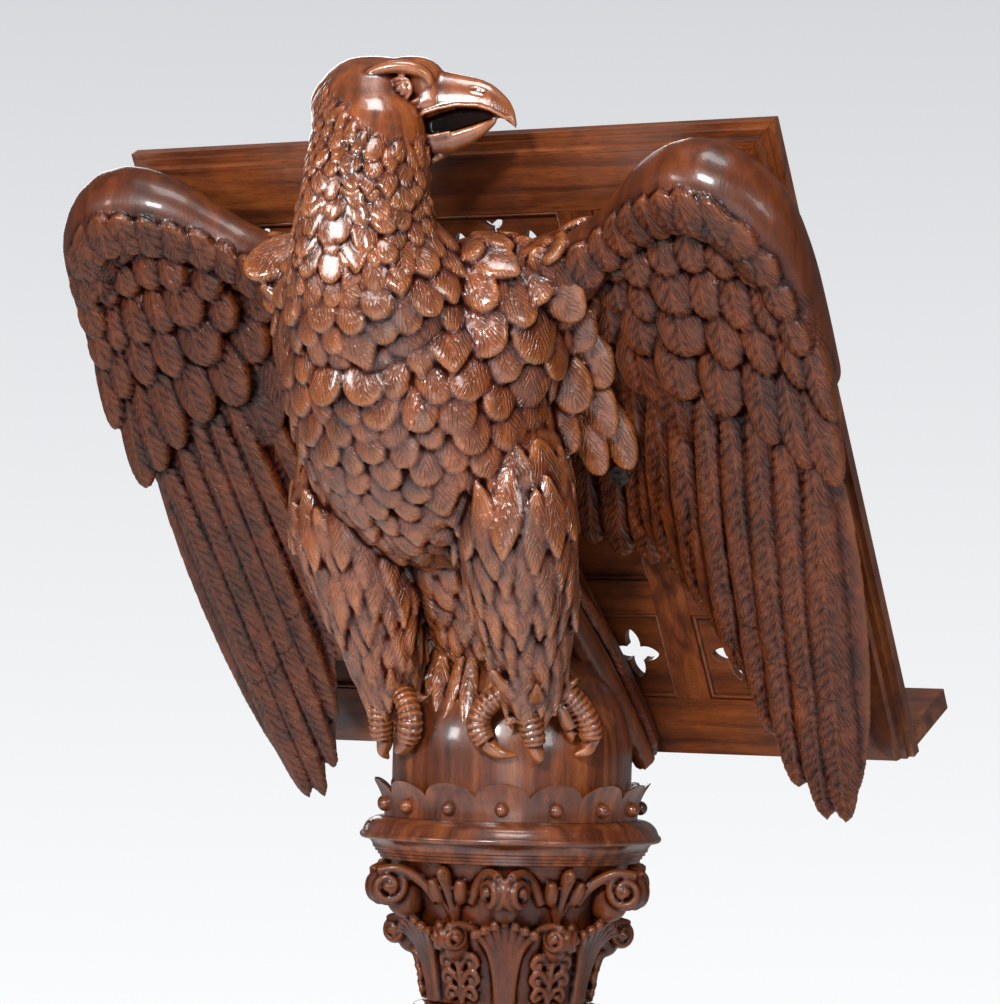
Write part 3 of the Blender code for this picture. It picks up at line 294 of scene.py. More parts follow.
def rod(foot, head, radius, radius_head, segments=20):
    foot, head = Vector(foot), Vector(head)
    deselect()
    bpy.ops.mesh.primitive_cone_add(vertices=segments, radius1=radius, radius2=radius_head,
                                    depth=(head - foot).length, location=(foot + head) / 2,
                                    rotation=(head - foot).to_track_quat("Z", "Y").to_euler())
    return bpy.context.object


def chain(links, segments=20):
    """Balls and rods through (place, radius) links, as one smooth limb."""
    pieces = [ball(place, [radius] * 3, segments=segments) for place, radius in links]
    pieces += [rod(foot, head, radius, radius_head, segments)
               for (foot, radius), (head, radius_head) in zip(links, links[1:])]
    return pieces


# %% Turned work and tubes
def turned(name, profile, steps=96, shape=None):
    """Sweep a (radius, height) profile round the axis; shape(angle, radius, height) may alter each ring."""
    deselect()
    bpy.ops.mesh.primitive_grid_add(x_subdivisions=steps, y_subdivisions=len(profile) - 1, size=2)
    piece = bpy.context.object
    piece.name = name
    flat = vertices_of(piece.data)
    angle = (flat[:, 0] + 1) * math.pi
    row = np.rint((flat[:, 1] + 1) / 2 * (len(profile) - 1)).astype(int)
    radius = np.array([p[0] for p in profile])[row]
    height = np.array([p[1] for p in profile])[row]
    if shape:
        radius, height = shape(angle, radius, height)
    set_vertices(piece.data, np.stack([radius * np.cos(angle), radius * np.sin(angle), height], axis=1))
    bpy.ops.object.mode_set(mode="EDIT")
    bpy.ops.mesh.select_all(action="SELECT")
    bpy.ops.mesh.remove_doubles(threshold=0.00002)
    bpy.ops.mesh.normals_make_consistent(inside=False)
    bpy.ops.object.mode_set(mode="OBJECT")
    piece.data.shade_smooth()
    return piece


def smooth_line(points, count):
    """Points along a Catmull-Rom line through (place, size) points."""
    table = np.array([[*place, size] for place, size in points])
    table = np.vstack([2 * table[0] - table[1], table, 2 * table[-1] - table[-2]])
    out = []
    for t in np.linspace(0, len(points) - 1 - 1e-9, count):
        k, u = int(t), t - int(t)
        a, b, c, d = table[k:k + 4]
        out.append(0.5 * (2 * b + (c - a) * u + (2 * a - 5 * b + 4 * c - d) * u * u
                          + (3 * b - a - 3 * c + d) * u ** 3))
    return [(Vector(row[:3]), float(row[3])) for row in out]


def tube(points, sides=3, cyclic=False):
    """A tube of changing radius along (place, radius) points."""
    curve = bpy.data.curves.new("tube", "CURVE")
    curve.dimensions = "3D"
    curve.bevel_depth = 1.0
    curve.bevel_resolution = sides
    curve.use_fill_caps = not cyclic
    spline = curve.splines.new("POLY")
    spline.points.add(len(points) - 1)
    spline.use_cyclic_u = cyclic
    for point, (place, radius) in zip(spline.points, points):
        point.co = (*place, 1)
        point.radius = radius
    piece = bpy.data.objects.new("tube", curve)
    bpy.context.scene.collection.objects.link(piece)
    use(piece)
    bpy.ops.object.convert(target="MESH")
    return bpy.context.object


# %% The feather blank, modelled once
# Across it is -1..1 in X, from root to tip -1..1 in Y, and its back is domed in Z.
def feather_blank(name, at_root, at_tip, fullness):
    """A sphere drawn to a feather's outline: how it narrows at root and tip, and how full its sides are."""
    deselect()
    bpy.ops.mesh.primitive_uv_sphere_add(segments=20, ring_count=12, radius=1)
    shape = vertices_of(bpy.context.object.data)
    broad = (1 - at_root * np.clip(-shape[:, 1], 0, 1)) * (1 - at_tip * np.clip(shape[:, 1], 0, 1) ** 1.5)
    full = np.sign(shape[:, 0]) * np.abs(shape[:, 0]) ** fullness
    back = np.sign(shape[:, 2]) * np.abs(shape[:, 2]) ** 0.75
    set_vertices(bpy.context.object.data, np.stack([full * broad, shape[:, 1], back], axis=1))
    bpy.context.object.name = name
    return bpy.context.object


blank = feather_blank("round_feather", 0.30, 0.0, 0.85)
flame = feather_blank("flame_feather", 0.45, 0.62, 0.95)
print("feather blanks of", len(blank.data.vertices), "vertices")


def place_feather(root, tip, out, width, thick, tilt=0.0):
    """The matrix that lays a blank from root to tip, its back towards out; tilt lifts the tip."""
    root, tip, out = Vector(root), Vector(tip), Vector(out).normalized()
    run = tip - root
    length = run.length
    run = run.normalized()
    side = run.cross(out).normalized()
    out = side.cross(run)
    if tilt:
        turn = Matrix.Rotation(tilt, 3, side)
        run, out = turn @ run, turn @ out
    basis = Matrix((side * width / 2, run * length / 2, out * thick / 2)).transposed().to_4x4()
    return Matrix.Translation((root + tip) / 2) @ basis


# %% Setting the feathers into a block
def set_in(block_pieces, feathers, name, voxel, ease=2, flames=()):
    """Join rough forms and feathers, and melt them into one skin."""
    copies = []
    for pattern, matrices in ((blank, feathers), (flame, flames)):
        for matrix in matrices:
            copy = bpy.data.objects.new("feather", pattern.data.copy())
            copy.matrix_world = matrix
            bpy.context.scene.collection.objects.link(copy)
            copies.append(copy)
    piece = join(block_pieces + copies, name)
    apply_modifier(piece, "REMESH", mode="VOXEL", voxel_size=voxel)
    mesh = piece.data
    set_vertices(mesh, relax(vertices_of(mesh), edges_of(mesh), ease))
    return piece


def feather_places(piece, feathers, reach=1.35):
    """For each vertex: across and along the feather it lies on, in metres, and 1 on a feather or 0 off it."""
    places = vertices_of(piece.data)
    out = np.zeros((len(places), 3))
    if not feathers:
        return out
    best = np.full(len(places), reach)
    homogeneous = np.c_[places, np.ones(len(places))]
    for matrix in feathers:
        centre = np.array(matrix.translation)
        axes = np.array(matrix.to_3x3())
        size = np.linalg.norm(axes, axis=0)
        near = np.flatnonzero(((places - centre) ** 2).sum(axis=1) < (size.max() * reach) ** 2)
        if not len(near):
            continue
        local = homogeneous[near] @ np.array(matrix.inverted()).T[:, :3]
        depth = np.abs(np.sqrt((local ** 2).sum(axis=1)) - 1) + 0.25 * (local[:, 2] < 0)
        win = depth < best[near]
        chosen = near[win]
        best[chosen] = depth[win]
        out[chosen, 0] = local[win, 0] * size[0]
        out[chosen, 1] = local[win, 1] * size[1]
        out[chosen, 2] = 1.0
    out[:, 2] *= np.clip((0.55 - best) / 0.2, 0, 1)
    return out


# %% The last pass on a carving
MOST_TRIANGLES = 192000


def finish_carving(piece, feathers, material, grooves=0.0, groove_pitch=6 * MM, depth=2.2 * MM):
    """Cut shallow grooves across the feathers, measure the hollows, and give the piece its finish."""
    mesh = piece.data
    ends = edges_of(mesh)
    lie = feather_places(piece, feathers)
    places = vertices_of(mesh)
    if grooves:
        wave = 2.6 * MM * np.sin(lie[:, 1] / (5.5 * MM) + places[:, 0] * 60)
        slant = lie[:, 1] - 0.9 * np.abs(lie[:, 0]) + wave
        cut = np.clip(np.sin(2 * np.pi * slant / groove_pitch), 0, 1) ** 2
        cut = cut * np.clip((16 * MM - np.abs(lie[:, 0])) / (5 * MM), 0, 1)
        cut = cut * np.where(lie[:, 0] > 0, 1.0, 0.5)
        spine = np.exp(-(lie[:, 0] / (1.6 * MM)) ** 2)
        rise = lie[:, 2] * (0.6 * grooves * spine - grooves * cut * (1 - spine))
        places = places + normals_of(mesh) * rise[:, None]
        set_vertices(mesh, places)
    broad = relax(places, ends, 14)
    fine = relax(places, ends, 3)
    normals = normals_of(mesh)
    hollow = ((broad - places) * normals).sum(axis=1) / depth
    hollow = hollow + ((fine - places) * normals).sum(axis=1) / (0.5 * depth)
    hollow = relax(np.clip(0.36 + 0.5 * hollow, 0, 1)[:, None], ends, 1)[:, 0]
    store = mesh.attributes.new("hollow", "FLOAT", "POINT").data
    store.foreach_set("value", hollow.astype(np.float32))
    store = mesh.attributes.new("feather", "FLOAT_VECTOR", "POINT").data
    store.foreach_set("vector", lie.astype(np.float32).ravel())
    mesh.shade_smooth()
    mesh.materials.clear()
    mesh.materials.append(material)
    triangles = sum(len(face.vertices) - 2 for face in mesh.polygons)
    if triangles > MOST_TRIANGLES:
        apply_modifier(piece, "DECIMATE", ratio=MOST_TRIANGLES / triangles)
        piece.data.validate()
    print(f"{piece.name}: {triangles} triangles before thinning, {len(feathers)} feathers")


def keep_inside(piece, soft=9 * MM):
    """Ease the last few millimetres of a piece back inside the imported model's box."""
    places = vertices_of(piece.data)
    for axis in range(3):
        for way, limit in ((1, cad_bounds[1][axis]), (-1, -cad_bounds[0][axis])):
            over = np.clip(places[:, axis] * way - (limit - soft), 0, None)
            places[:, axis] = np.where(over > 0, way * (limit - soft * np.exp(-over / soft)),
                                       places[:, axis])
    set_vertices(piece.data, places)


def surface_of(pieces, voxel):
    """Melt rough forms into one smooth form, and give it with a tree that rays can be cast at."""
    form = join(pieces, "rough_form")
    apply_modifier(form, "REMESH", mode="VOXEL", voxel_size=voxel)
    set_vertices(form.data, relax(vertices_of(form.data), edges_of(form.data), 3))
    graph = bpy.context.evaluated_depsgraph_get()
    return form, BVHTree.FromObject(form, graph)


# %% The book rest's own frame
# Wings, breast and tail are placed from the sloping rest, so its frame is worked out from the two faces
# that the record names: the one that the book leans on, and the top of the ledge that it stands on. +X is
# the eagle's left, +Y is up the slope and +Z points forward out of the underside.
ledge = next(m for m in frame["record"]["mounts"] if m["name"] == "ledge_face")
book = next(m for m in frame["record"]["mounts"] if m["name"] == "book_face")
up_slope = Vector(ledge["axis"]).normalized()
forward = -Vector(book["axis"]).normalized()
REST_THICKNESS = 18 * MM
LEDGE_BELOW = 266.4 * MM                    # top of the ledge, down the slope from the rest's centre
rest_axes = Matrix((Vector((1, 0, 0)), up_slope, forward)).transposed().to_4x4()
board_back = Vector(book["pos_m"])
above_ledge = (board_back - Vector(ledge["pos_m"])).dot(up_slope)
rest_origin = board_back + forward * REST_THICKNESS + up_slope * (LEDGE_BELOW - above_ledge)
REST = Matrix.Translation(rest_origin) @ rest_axes
print("rest centre", tuple(round(v, 4) for v in rest_origin))

# %% [markdown]
# ## Wings
# Each wing is one carved plank: an arm with a smooth front edge, small lobes and rows of rounded coverts
# below it, and long flight feathers. Sculpting every feather would take thousands of strokes. Here each
# is a row in a table, and copies of the feather blank are laid over a rough arm and blade. The second
# wing is the mirror of the first.

# %% Wing tables, for the wing at +X, in the rest's frame, in millimetres
WING_ARM = (
    ((60, 160, 70), 40), ((100, 178, 60), 37), ((140, 196, 54), 30),
    ((185, 220, 50), 25), ((215, 240, 54), 27),
    ((250, 262, 60), 33), ((288, 268, 64), 38), ((322, 240, 62), 35),
    ((338, 200, 60), 28), ((346, 150, 58), 22),
    ((350, 100, 56), 17),
)
# Flight feathers: root, tip, width.
FLIGHT = (
    ((334, 70), (278, -322), 36), ((312, 100), (260, -320), 38), ((288, 105), (240, -290), 38),
    ((264, 105), (226, -240), 38), ((240, 100), (205, -182), 38), ((212, 95), (180, -132), 38),
    ((184, 90), (151, -101), 36), ((156, 85), (122, -98), 36), ((128, 80), (93, -92), 36),
    ((98, 70), (66, -80), 36),
)
# Coverts: tip, width, length, lean in degrees, from the lowest row to the highest.
COVERTS = (
    ((348, 2), 36, 130, 6), ((326, 18), 38, 120, 2), ((298, 40), 38, 110, -3), ((262, 66), 42, 80, -5),
    ((224, 80), 46, 70, -4), ((182, 78), 52, 70, -3), ((134, 80), 54, 66, -2), ((92, 84), 46, 60, 0),
    ((361, 62), 30, 110, 8), ((340, 92), 30, 80, 6), ((310, 104), 34, 76, 0), ((278, 112), 36, 66, -2),
    ((240, 122), 48, 60, -3), ((198, 118), 46, 56, -2), ((160, 122), 44, 52, 0), ((122, 122), 50, 54, 0),
    ((82, 124), 46, 52, 3), ((352, 128), 28, 70, 10), ((328, 140), 30, 60, 6), ((300, 146), 34, 56, 2),
    ((272, 156), 34, 50, 0), ((244, 160), 46, 56, -2), ((212, 152), 34, 46, 0), ((182, 154), 46, 50, 0),
    ((150, 160), 40, 46, 2), ((112, 166), 40, 46, 4), ((342, 170), 28, 46, 10), ((322, 184), 30, 44, 6),
    ((298, 192), 32, 44, 4), ((270, 198), 32, 44, 0), ((244, 196), 32, 40, -3), ((216, 184), 34, 38, 0),
    ((186, 186), 34, 36, 0),
)
# Small lobes on the arm, up to its smooth front edge: middle, width, length, lean.
ARM_LOBES = (
    (78, 158, 34, 42, 8), (100, 176, 34, 40, 6), (124, 176, 34, 44, 4),
    (146, 188, 32, 42, 4), (112, 150, 34, 44, 6),
    (168, 196, 32, 42, 4), (188, 208, 30, 40, 0), (208, 222, 30, 40, -4),
    (228, 232, 32, 42, -6), (248, 240, 34, 44, -4),
    (268, 246, 34, 44, 0), (288, 246, 34, 44, 6), (308, 238, 32, 44, 12),
    (324, 222, 30, 44, 16), (336, 196, 28, 44, 14),
    (342, 166, 26, 44, 10), (346, 134, 24, 44, 8), (236, 212, 32, 40, -4),
    (258, 220, 32, 40, -2), (280, 222, 34, 40, 2),
    (302, 214, 32, 42, 8), (318, 200, 30, 42, 12), (216, 206, 30, 36, -4),
)
print(len(FLIGHT), "flight feathers,", len(COVERTS), "coverts and", len(ARM_LOBES), "small lobes to a wing")
ROOT_DEPTH = 11.0
LIFT_FROM, LIFT_TO, LIFT = 100.0, 250.0, 46.0


def wing_depth(across):
    """How far the middle of the wing's blade stands in front of the book rest."""
    rise = min(1.0, max(0.0, (across - LIFT_FROM) / (LIFT_TO - LIFT_FROM)))
    return ROOT_DEPTH + LIFT * rise * rise * (3 - 2 * rise)


def wing_point(across, up, proud=0.0):
    return Vector((across, up, wing_depth(across) + proud)) * MM


def wing_feathers():
    feathers = []
    for root, tip, width in FLIGHT:
        foot, head = wing_point(*root, 1.0), wing_point(*tip, 0.0)
        feathers.append(place_feather(foot, head, (0.20, 0, 1), width * MM, 17 * MM))
        # A second blank keeps the feather broad down to its blunt end.
        feathers.append(place_feather(foot.lerp(head, 0.45), head, (0.20, 0, 1), width * 0.98 * MM, 16 * MM))
    rows = len(COVERTS)
    for number, (tip, width, length, lean) in enumerate(COVERTS):
        proud = 9.0 + 12.0 * number / rows
        angle = math.radians(lean)
        root = (tip[0] - length * math.sin(angle), tip[1] + length * math.cos(angle))
        foot, head = wing_point(*root, proud - 4), wing_point(*tip, proud)
        feathers.append(place_feather(foot, head, (0.05, 0.15, 1),
                                      width * MM, 19 * MM, tilt=math.radians(3)))
    return feathers


# %% Building a wing
def arm_lobes(arm_surface):
    """Lay the small lobes on the arm, each on the skin that a ray from the front hits."""
    lobes = []
    for x, y, width, length, lean in ARM_LOBES:
        hit, normal, _, _ = arm_surface.ray_cast(Vector((x, y + 9, 300)) * MM, Vector((0, 0, -1)))
        if hit is None:
            continue
        angle = math.radians(lean)
        down = Vector((math.sin(angle), -math.cos(angle), 0))
        down = (down - normal * down.dot(normal)).normalized()
        hit = hit - normal * 1.5 * MM
        lobes.append(place_feather(hit - down * length * 0.55 * MM, hit + down * length * 0.45 * MM, normal,
                                   width * 1.08 * MM, 11 * MM, tilt=0.11))
    return lobes


def build_wing(side, name, node):
    feathers = wing_feathers()
    arm = smooth_line([(Vector(place) * MM, radius * MM) for place, radius in WING_ARM], 34)
    ends = [ball(place, [radius] * 3) for place, radius in (arm[0], arm[-1])]
    arm_form, arm_surface = surface_of([tube(arm, 8)] + ends, 3 * MM)
    feathers += arm_lobes(arm_surface)
    pieces = [arm_form]
    pieces += [ball(wing_point(x, y, -3), (wide * MM, tall * MM, 9 * MM))
               for x, y, wide, tall in ((300, 70, 56, 130), (235, 110, 60, 80), (165, 120, 66, 70))]
    # A thin web behind each flight feather joins it to its neighbours.
    for (x, y), (tip_x, tip_y), width in FLIGHT:
        middle = wing_point((x + tip_x) / 2, (y + tip_y) / 2, -4)
        run = wing_point(tip_x, tip_y, -4) - wing_point(x, y, -4)
        web = ball(middle, (width * 0.95 * MM, run.length * 0.46, 5 * MM))
        level = Vector((0, 0, 1)).cross(run).cross(Vector((0, 0, 1)))
        web.rotation_euler = level.to_track_quat("Y", "Z").to_euler()
        pieces.append(web)
    wing = set_in(pieces, feathers, name, 1.9 * MM)
    finish_carving(wing, feathers, SHADED, grooves=0.8 * MM, groove_pitch=10 * MM)
    mesh = wing.data
    places = vertices_of(mesh)
    places[:, 2] = np.maximum(places[:, 2], 0.4 * MM)
    set_vertices(mesh, places)
    turn = REST @ Matrix.Diagonal((side, 1, 1, 1))
    mesh.transform(turn)
    if side < 0:
        mesh.flip_normals()
    keep_inside(wing)
    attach(wing, "eagle_top")
    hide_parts(node)
    return wing


for side, word in ((1, "left"), (-1, "right")):
    wing = build_wing(side, word + "_wing_carving", word + "_wing")
    print(wing.name, "is", round(wing.dimensions.x / MM), "mm across")

# %% [markdown]
# ## Head and neck
# A carver sees the beak as a taper with a top, an underside and a width, so each mandible is a skin
# lofted through such stations. The skull is three balls. The eye sits in a pressed hollow under a heavy
# brow, and the neck is packed with small feathers that grow downwards.

# %% Places on the eagle
# Heights on the eagle are counted from the dome's foot, where the round top springs from the drum.
SEAT_GAP = 0.0003
DOME_ABOVE_SEAT = 52.7 * MM
DOME_FOOT = frame["joints"][0]["pos_m"][2] + SEAT_GAP + DOME_ABOVE_SEAT
HEAD_TURN = math.radians(15)
HEAD_CENTRE = Vector((0, -222 * MM, DOME_FOOT + 545 * MM))
beak_way = Vector((math.cos(HEAD_TURN), math.sin(HEAD_TURN), 0))
beak_side = Vector((-beak_way.y, beak_way.x, 0))
print("dome foot", round(DOME_FOOT, 4), "head centre", tuple(round(v, 4) for v in HEAD_CENTRE))


def on_head(forward, height, aside=0.0):
    """A point on the head in millimetres: along the beak, above its centre, and to the eagle's left."""
    return HEAD_CENTRE + (beak_way * forward + beak_side * aside + Vector((0, 0, height))) * MM


def above_dome(x, y, z):
    return Vector((x, y, DOME_FOOT / MM + z)) * MM


def in_rest(x, y, z):
    return REST @ (Vector((x, y, z)) * MM)


def lofted(stations, wide, steps=28):
    """A closed skin through stations of (forward, top, underside, half width) on the head, in millimetres.

    wide says where each section is broadest, from its underside at 0 to its top at 1.
    """
    deselect()
    bpy.ops.mesh.primitive_grid_add(x_subdivisions=steps, y_subdivisions=len(stations) + 1, size=2)
    piece = bpy.context.object
    flat = vertices_of(piece.data)
    table = np.array([stations[0][:1] + (stations[0][1] / 2 + stations[0][2] / 2,) * 2 + (0,)]
                     + list(stations)
                     + [stations[-1][:1] + (stations[-1][1] / 2 + stations[-1][2] / 2,) * 2 + (0,)])
    row = np.rint((flat[:, 1] + 1) / 2 * (len(table) - 1)).astype(int)
    angle = (flat[:, 0] + 1) * math.pi
    forward, top, under, half = table[row].T
    broad = under + (top - under) * wide
    lift = np.sin(angle)
    height = np.where(lift > 0, broad + (top - broad) * lift, broad + (broad - under) * lift)
    places = [on_head(f, z, a) for f, z, a in zip(forward, height, half * np.cos(angle))]
    set_vertices(piece.data, np.array(places))
    bpy.ops.object.mode_set(mode="EDIT")
    bpy.ops.mesh.select_all(action="SELECT")
    bpy.ops.mesh.remove_doubles(threshold=0.00001)
    bpy.ops.mesh.normals_make_consistent(inside=False)
    bpy.ops.object.mode_set(mode="OBJECT")
    return piece


# %% Pressing the skin and packing feathers
def press(piece, centre, radius, depth, way):
    """Push the skin in (or out, with a negative depth) round a point, fading to nothing at radius."""
    mesh = piece.data
    places = vertices_of(mesh)
    off = np.linalg.norm(places - np.array(centre), axis=1) / radius
    fade = np.clip(1 - off ** 2, 0, 1) ** 2
    set_vertices(mesh, places + fade[:, None] * np.array(way) * depth)


def lay_feathers(form, size_at, flow_at, sway=0.32, pointed=0.0):
    """Pack feathers over a form, from the top down, so that each tip overlaps the roots below it.

    size_at(place) gives width, length, thickness and tilt, or None where nothing is carved; flow_at gives
    the way the feathers point. A share of them, pointed, is returned apart as flames.
    """
    places = vertices_of(form.data)
    normals = normals_of(form.data)
    rank = places[:, 2] + random.uniform(-4 * MM, 4 * MM, len(places))
    feathers, flames, kept = [], [], np.zeros((0, 3))
    for index in np.argsort(-rank):
        place, normal = Vector(places[index]), Vector(normals[index])
        size = size_at(place)
        if size is None:
            continue
        width, length, thick, tilt = size
        down = Vector(flow_at(place))
        down = (down - normal * down.dot(normal)).normalized()
        aside = down.cross(normal)
        if len(kept):
            off = kept - places[index]
            if ((off @ np.array(down) / (length * 0.46)) ** 2 + (off @ np.array(aside) / (width * 0.86)) ** 2
                    + (off @ np.array(normal) / width) ** 2).min() < 1:
                continue
        kept = np.vstack([kept, places[index]])
        size = random.uniform(0.86, 1.24)
        down = (down + aside * random.uniform(-sway, sway)).normalized()
        sharp = random.uniform() < pointed
        wide = width * size * (1.25 if sharp else random.uniform(0.98, 1.22))
        (flames if sharp else feathers).append(
            place_feather(place - down * length * size * 0.58,
                          place + down * length * size * 0.5, normal, wide,
                          thick * random.uniform(0.8, 1.1),
                          tilt=tilt * random.uniform(0.6, 1.5)
                          * min(1.0, 1.7 - 1.7 * max(0.0, normal.z))))
    return feathers, flames


def share(value, table):
    """Read a row of numbers between the rows of a table whose first column rises."""
    columns = np.array(table, dtype=float).T
    return [np.interp(value, columns[0], column) for column in columns[1:]]


# %% Skull and beak
skull = [ball(on_head(-11, -8), (49 * MM, 37 * MM, 41 * MM), (0, 0, HEAD_TURN)),
         ball(on_head(22, 7), (31 * MM, 25 * MM, 25 * MM), (0, 0, HEAD_TURN)),
         ball(on_head(-10, -30), (40 * MM, 35 * MM, 30 * MM), (0, 0, HEAD_TURN))]
UPPER = [(14, 26, -34, 23), (34, 23, -25, 19.5), (50, 18.5, -18.5, 16.5),
         (66, 15, -14.5, 14), (82, 11.5, -14.5, 11.5),
         (93, 6.5, -17.5, 9.2), (101, 0, -21.5, 7.2), (107, -6, -25, 5.4),
         (111.5, -14, -28.5, 3.6), (114, -24, -32, 1.8),
         (114.5, -29, -34, 0.9)]
LOWER = [(4, -37, -62, 19), (28, -37, -57, 15.5), (44, -35, -53, 13),
         (60, -32, -49, 11), (76, -27.5, -42, 8.6),
         (88, -23.5, -33.5, 5.8), (97, -21.5, -25.5, 2)]
upper_beak = [lofted(UPPER, 0.18)]
lower_beak = [lofted(LOWER, 0.86)]
cere = [lofted([(26, 25, -20, 19), (36, 24.2, -20, 20.5), (45, 21.5, -17, 18.6), (48, 19.3, -16, 17.4)],
               0.2)]
neck_links = [(on_head(-12, -16), 46 * MM), (above_dome(0, -240, 505), 46 * MM),
              (above_dome(0, -250, 455), 49 * MM),
              (above_dome(0, -243, 400), 60 * MM)]
head, _ = surface_of(skull + upper_beak + lower_beak + cere + chain(neck_links, 24), 1.6 * MM)
print("head and neck roughed out,", len(head.data.vertices), "vertices")

# %% Eyes, brow and lids
EYE = (22, 0.5)
for side in (1, -1):
    inward = -beak_side * side
    press(head, on_head(EYE[0] + 3, EYE[1] - 1, side * 28), 19 * MM, 5 * MM, inward)
    for step in range(4):
        press(head, on_head(78 + 3 * step, 0.8 - 0.6 * step, side * 10), 3.4 * MM, 1.8 * MM, inward)
    press(head, on_head(-4, -24, side * 36), 26 * MM, -4 * MM, inward)
head_parts = [head]
for side in (1, -1):
    brow = [(on_head(-10, 8, side * 33), 3 * MM), (on_head(2, 15, side * 31), 4.5 * MM),
            (on_head(18, 18.5, side * 27.5), 5.5 * MM), (on_head(32, 17, side * 22.5), 6 * MM),
            (on_head(41, 12, side * 18.5), 4.5 * MM), (on_head(45, 5, side * 17), 2.5 * MM)]
    head_parts.append(tube(smooth_line(brow, 24), 4))
    ring = beak_side.to_track_quat("Z", "Y").to_euler()
    head_parts.append(ball(on_head(EYE[0], EYE[1], side * 23), (7.6 * MM,) * 3, segments=24, rings=16))
    deselect()
    for reach, radius, out in ((9.0, 1.8, 27), (5.0, 0.9, 29.4)):
        bpy.ops.mesh.primitive_torus_add(major_radius=reach * MM,
                                         minor_radius=radius * MM, major_segments=28,
                                         minor_segments=10, rotation=ring,
                                         location=on_head(EYE[0], EYE[1], side * out))
        head_parts.append(bpy.context.object)
    head_parts.append(ball(on_head(EYE[0], EYE[1], side * 30.4), (2.0 * MM,) * 3, segments=12, rings=8))
    # A lower lid, and a raised lip along each mandible.
    for low, thick in ((0, 1.8), (6, 1.4), (12, 1.2)):
        lid = [(on_head(6 - low, -4 - low, side * 32), 1.0 * MM),
               (on_head(14, -12 - low, side * 29.5), thick * MM),
               (on_head(26, -13 - low, side * 25), thick * MM),
               (on_head(35, -7 - low, side * 20.5), 1.0 * MM)]
        head_parts.append(tube(smooth_line(lid, 16)))
    for stations, wide in ((UPPER, 0.10), (LOWER, 0.92)):
        head_parts.append(tube([(on_head(f, under + (top - under) * wide, side * (half - 0.6)), 1.5 * MM)
                                for f, top, under, half in stations[:-3]]))
# A thin mass in the middle of the mouth holds the two mandibles together.
head_parts.append(lofted([(6, -26, -50, 7), (30, -20, -46, 5),
                          (60, -14, -38, 3), (84, -14, -28, 1.8), (95, -18, -25, 1.6)],
                         0.5))
print(len(head_parts), "parts on the head")


# %% Neck feathers
def neck_size(place):
    off = (place - HEAD_CENTRE) / MM
    forward, height = off.dot(beak_way), off.z
    if height > max(-52.0, -2 - 0.85 * (forward + 50)):
        return None
    width, length, thick, tilt = share(height, ((-170, 21, 38, 9, 0.26), (-110, 18, 34, 9, 0.28),
                                                (-60, 14, 27, 7.5, 0.26), (-30, 11.5, 22, 6, 0.2),
                                                (10, 10, 18, 4.5, 0.12)))
    return width * MM, length * MM, thick * MM, tilt


def neck_flow(place):
    off = (place - HEAD_CENTRE) / MM
    return Vector((0, 0, -1)) - beak_way * 0.7 * max(0.0, min(1.0, (off.z + 40) / 50))


neck_scales, neck_flames = lay_feathers(head, neck_size, neck_flow, 0.5, 0.35)
print(len(neck_scales), "round and", len(neck_flames), "pointed feathers on the neck")
head_carving = set_in(head_parts, neck_scales, "eagle_head_carving", 1.35 * MM, 1, neck_flames)
finish_carving(head_carving, neck_scales + neck_flames, CARVED, depth=1.5 * MM)

# %% Painted shade inside the mouth
mesh = head_carving.data
off = (vertices_of(mesh) - np.array(HEAD_CENTRE)) / MM
ahead, aside = off @ np.array(beak_way), np.abs(off @ np.array(beak_side))
roof = np.interp(ahead, [row[0] for row in UPPER], [row[2] for row in UPPER])
bed = np.interp(ahead, [row[0] for row in LOWER], [row[1] for row in LOWER])
room = np.interp(ahead, [row[0] for row in LOWER], [row[3] for row in LOWER])
mouth = (ahead > 6) & (ahead < 97) & (off[:, 2] > bed - 1) & (off[:, 2] < roof + 1) & (aside < room - 2)
hollow = np.empty(len(mesh.vertices), dtype=np.float32)
mesh.attributes["hollow"].data.foreach_get("value", hollow)
# Painted shade: the inside of the mouth is set to the deepest hollow, so it takes the darkest painted shade.
mesh.attributes["hollow"].data.foreach_set("value", np.where(mouth, 0.95, hollow).astype(np.float32))
print(int(mouth.sum()), "vertices in the mouth")
keep_inside(head_carving)
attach(head_carving, "eagle_top")

# %% [markdown]
# ## Body and thighs
# The breast carries overlapping feathers that grow from 20 mm wide at the neck to 28 mm on the belly. The
# thighs are smooth at the top, then hang in tiers of flame-shaped feathers down to the ankles. Feathers
# are packed over a rough form by one rule, because a hand-placed set would leave gaps wherever the form
# curves away.

# %% Rough torso
torso_forms = [ball(in_rest(0, 108, 112), (106 * MM, 148 * MM, 101 * MM), REST.to_euler()),
               ball(in_rest(0, 205, 130), (76 * MM, 78 * MM, 72 * MM), REST.to_euler()),
               ball(in_rest(0, 0, 84), (76 * MM, 88 * MM, 68 * MM), REST.to_euler())]
torso_forms += chain([(above_dome(0, -241, 400), 59 * MM), (above_dome(0, -248, 440), 50 * MM)], 24)
torso_forms += chain([(above_dome(0, -80, 190), 60 * MM), (above_dome(0, -52, 120), 46 * MM)], 24)
for side in (1, -1):
    torso_forms.append(ball(in_rest(side * 76, 160, 84), (50 * MM, 75 * MM, 60 * MM), REST.to_euler()))
    torso_forms += chain([(in_rest(side * x, y, z), radius * 0.94 * MM)
                          for (x, y, z), radius in WING_ARM[:4]])
torso, torso_surface = surface_of(torso_forms, 3 * MM)
print("torso roughed out,", len(torso.data.vertices), "vertices")


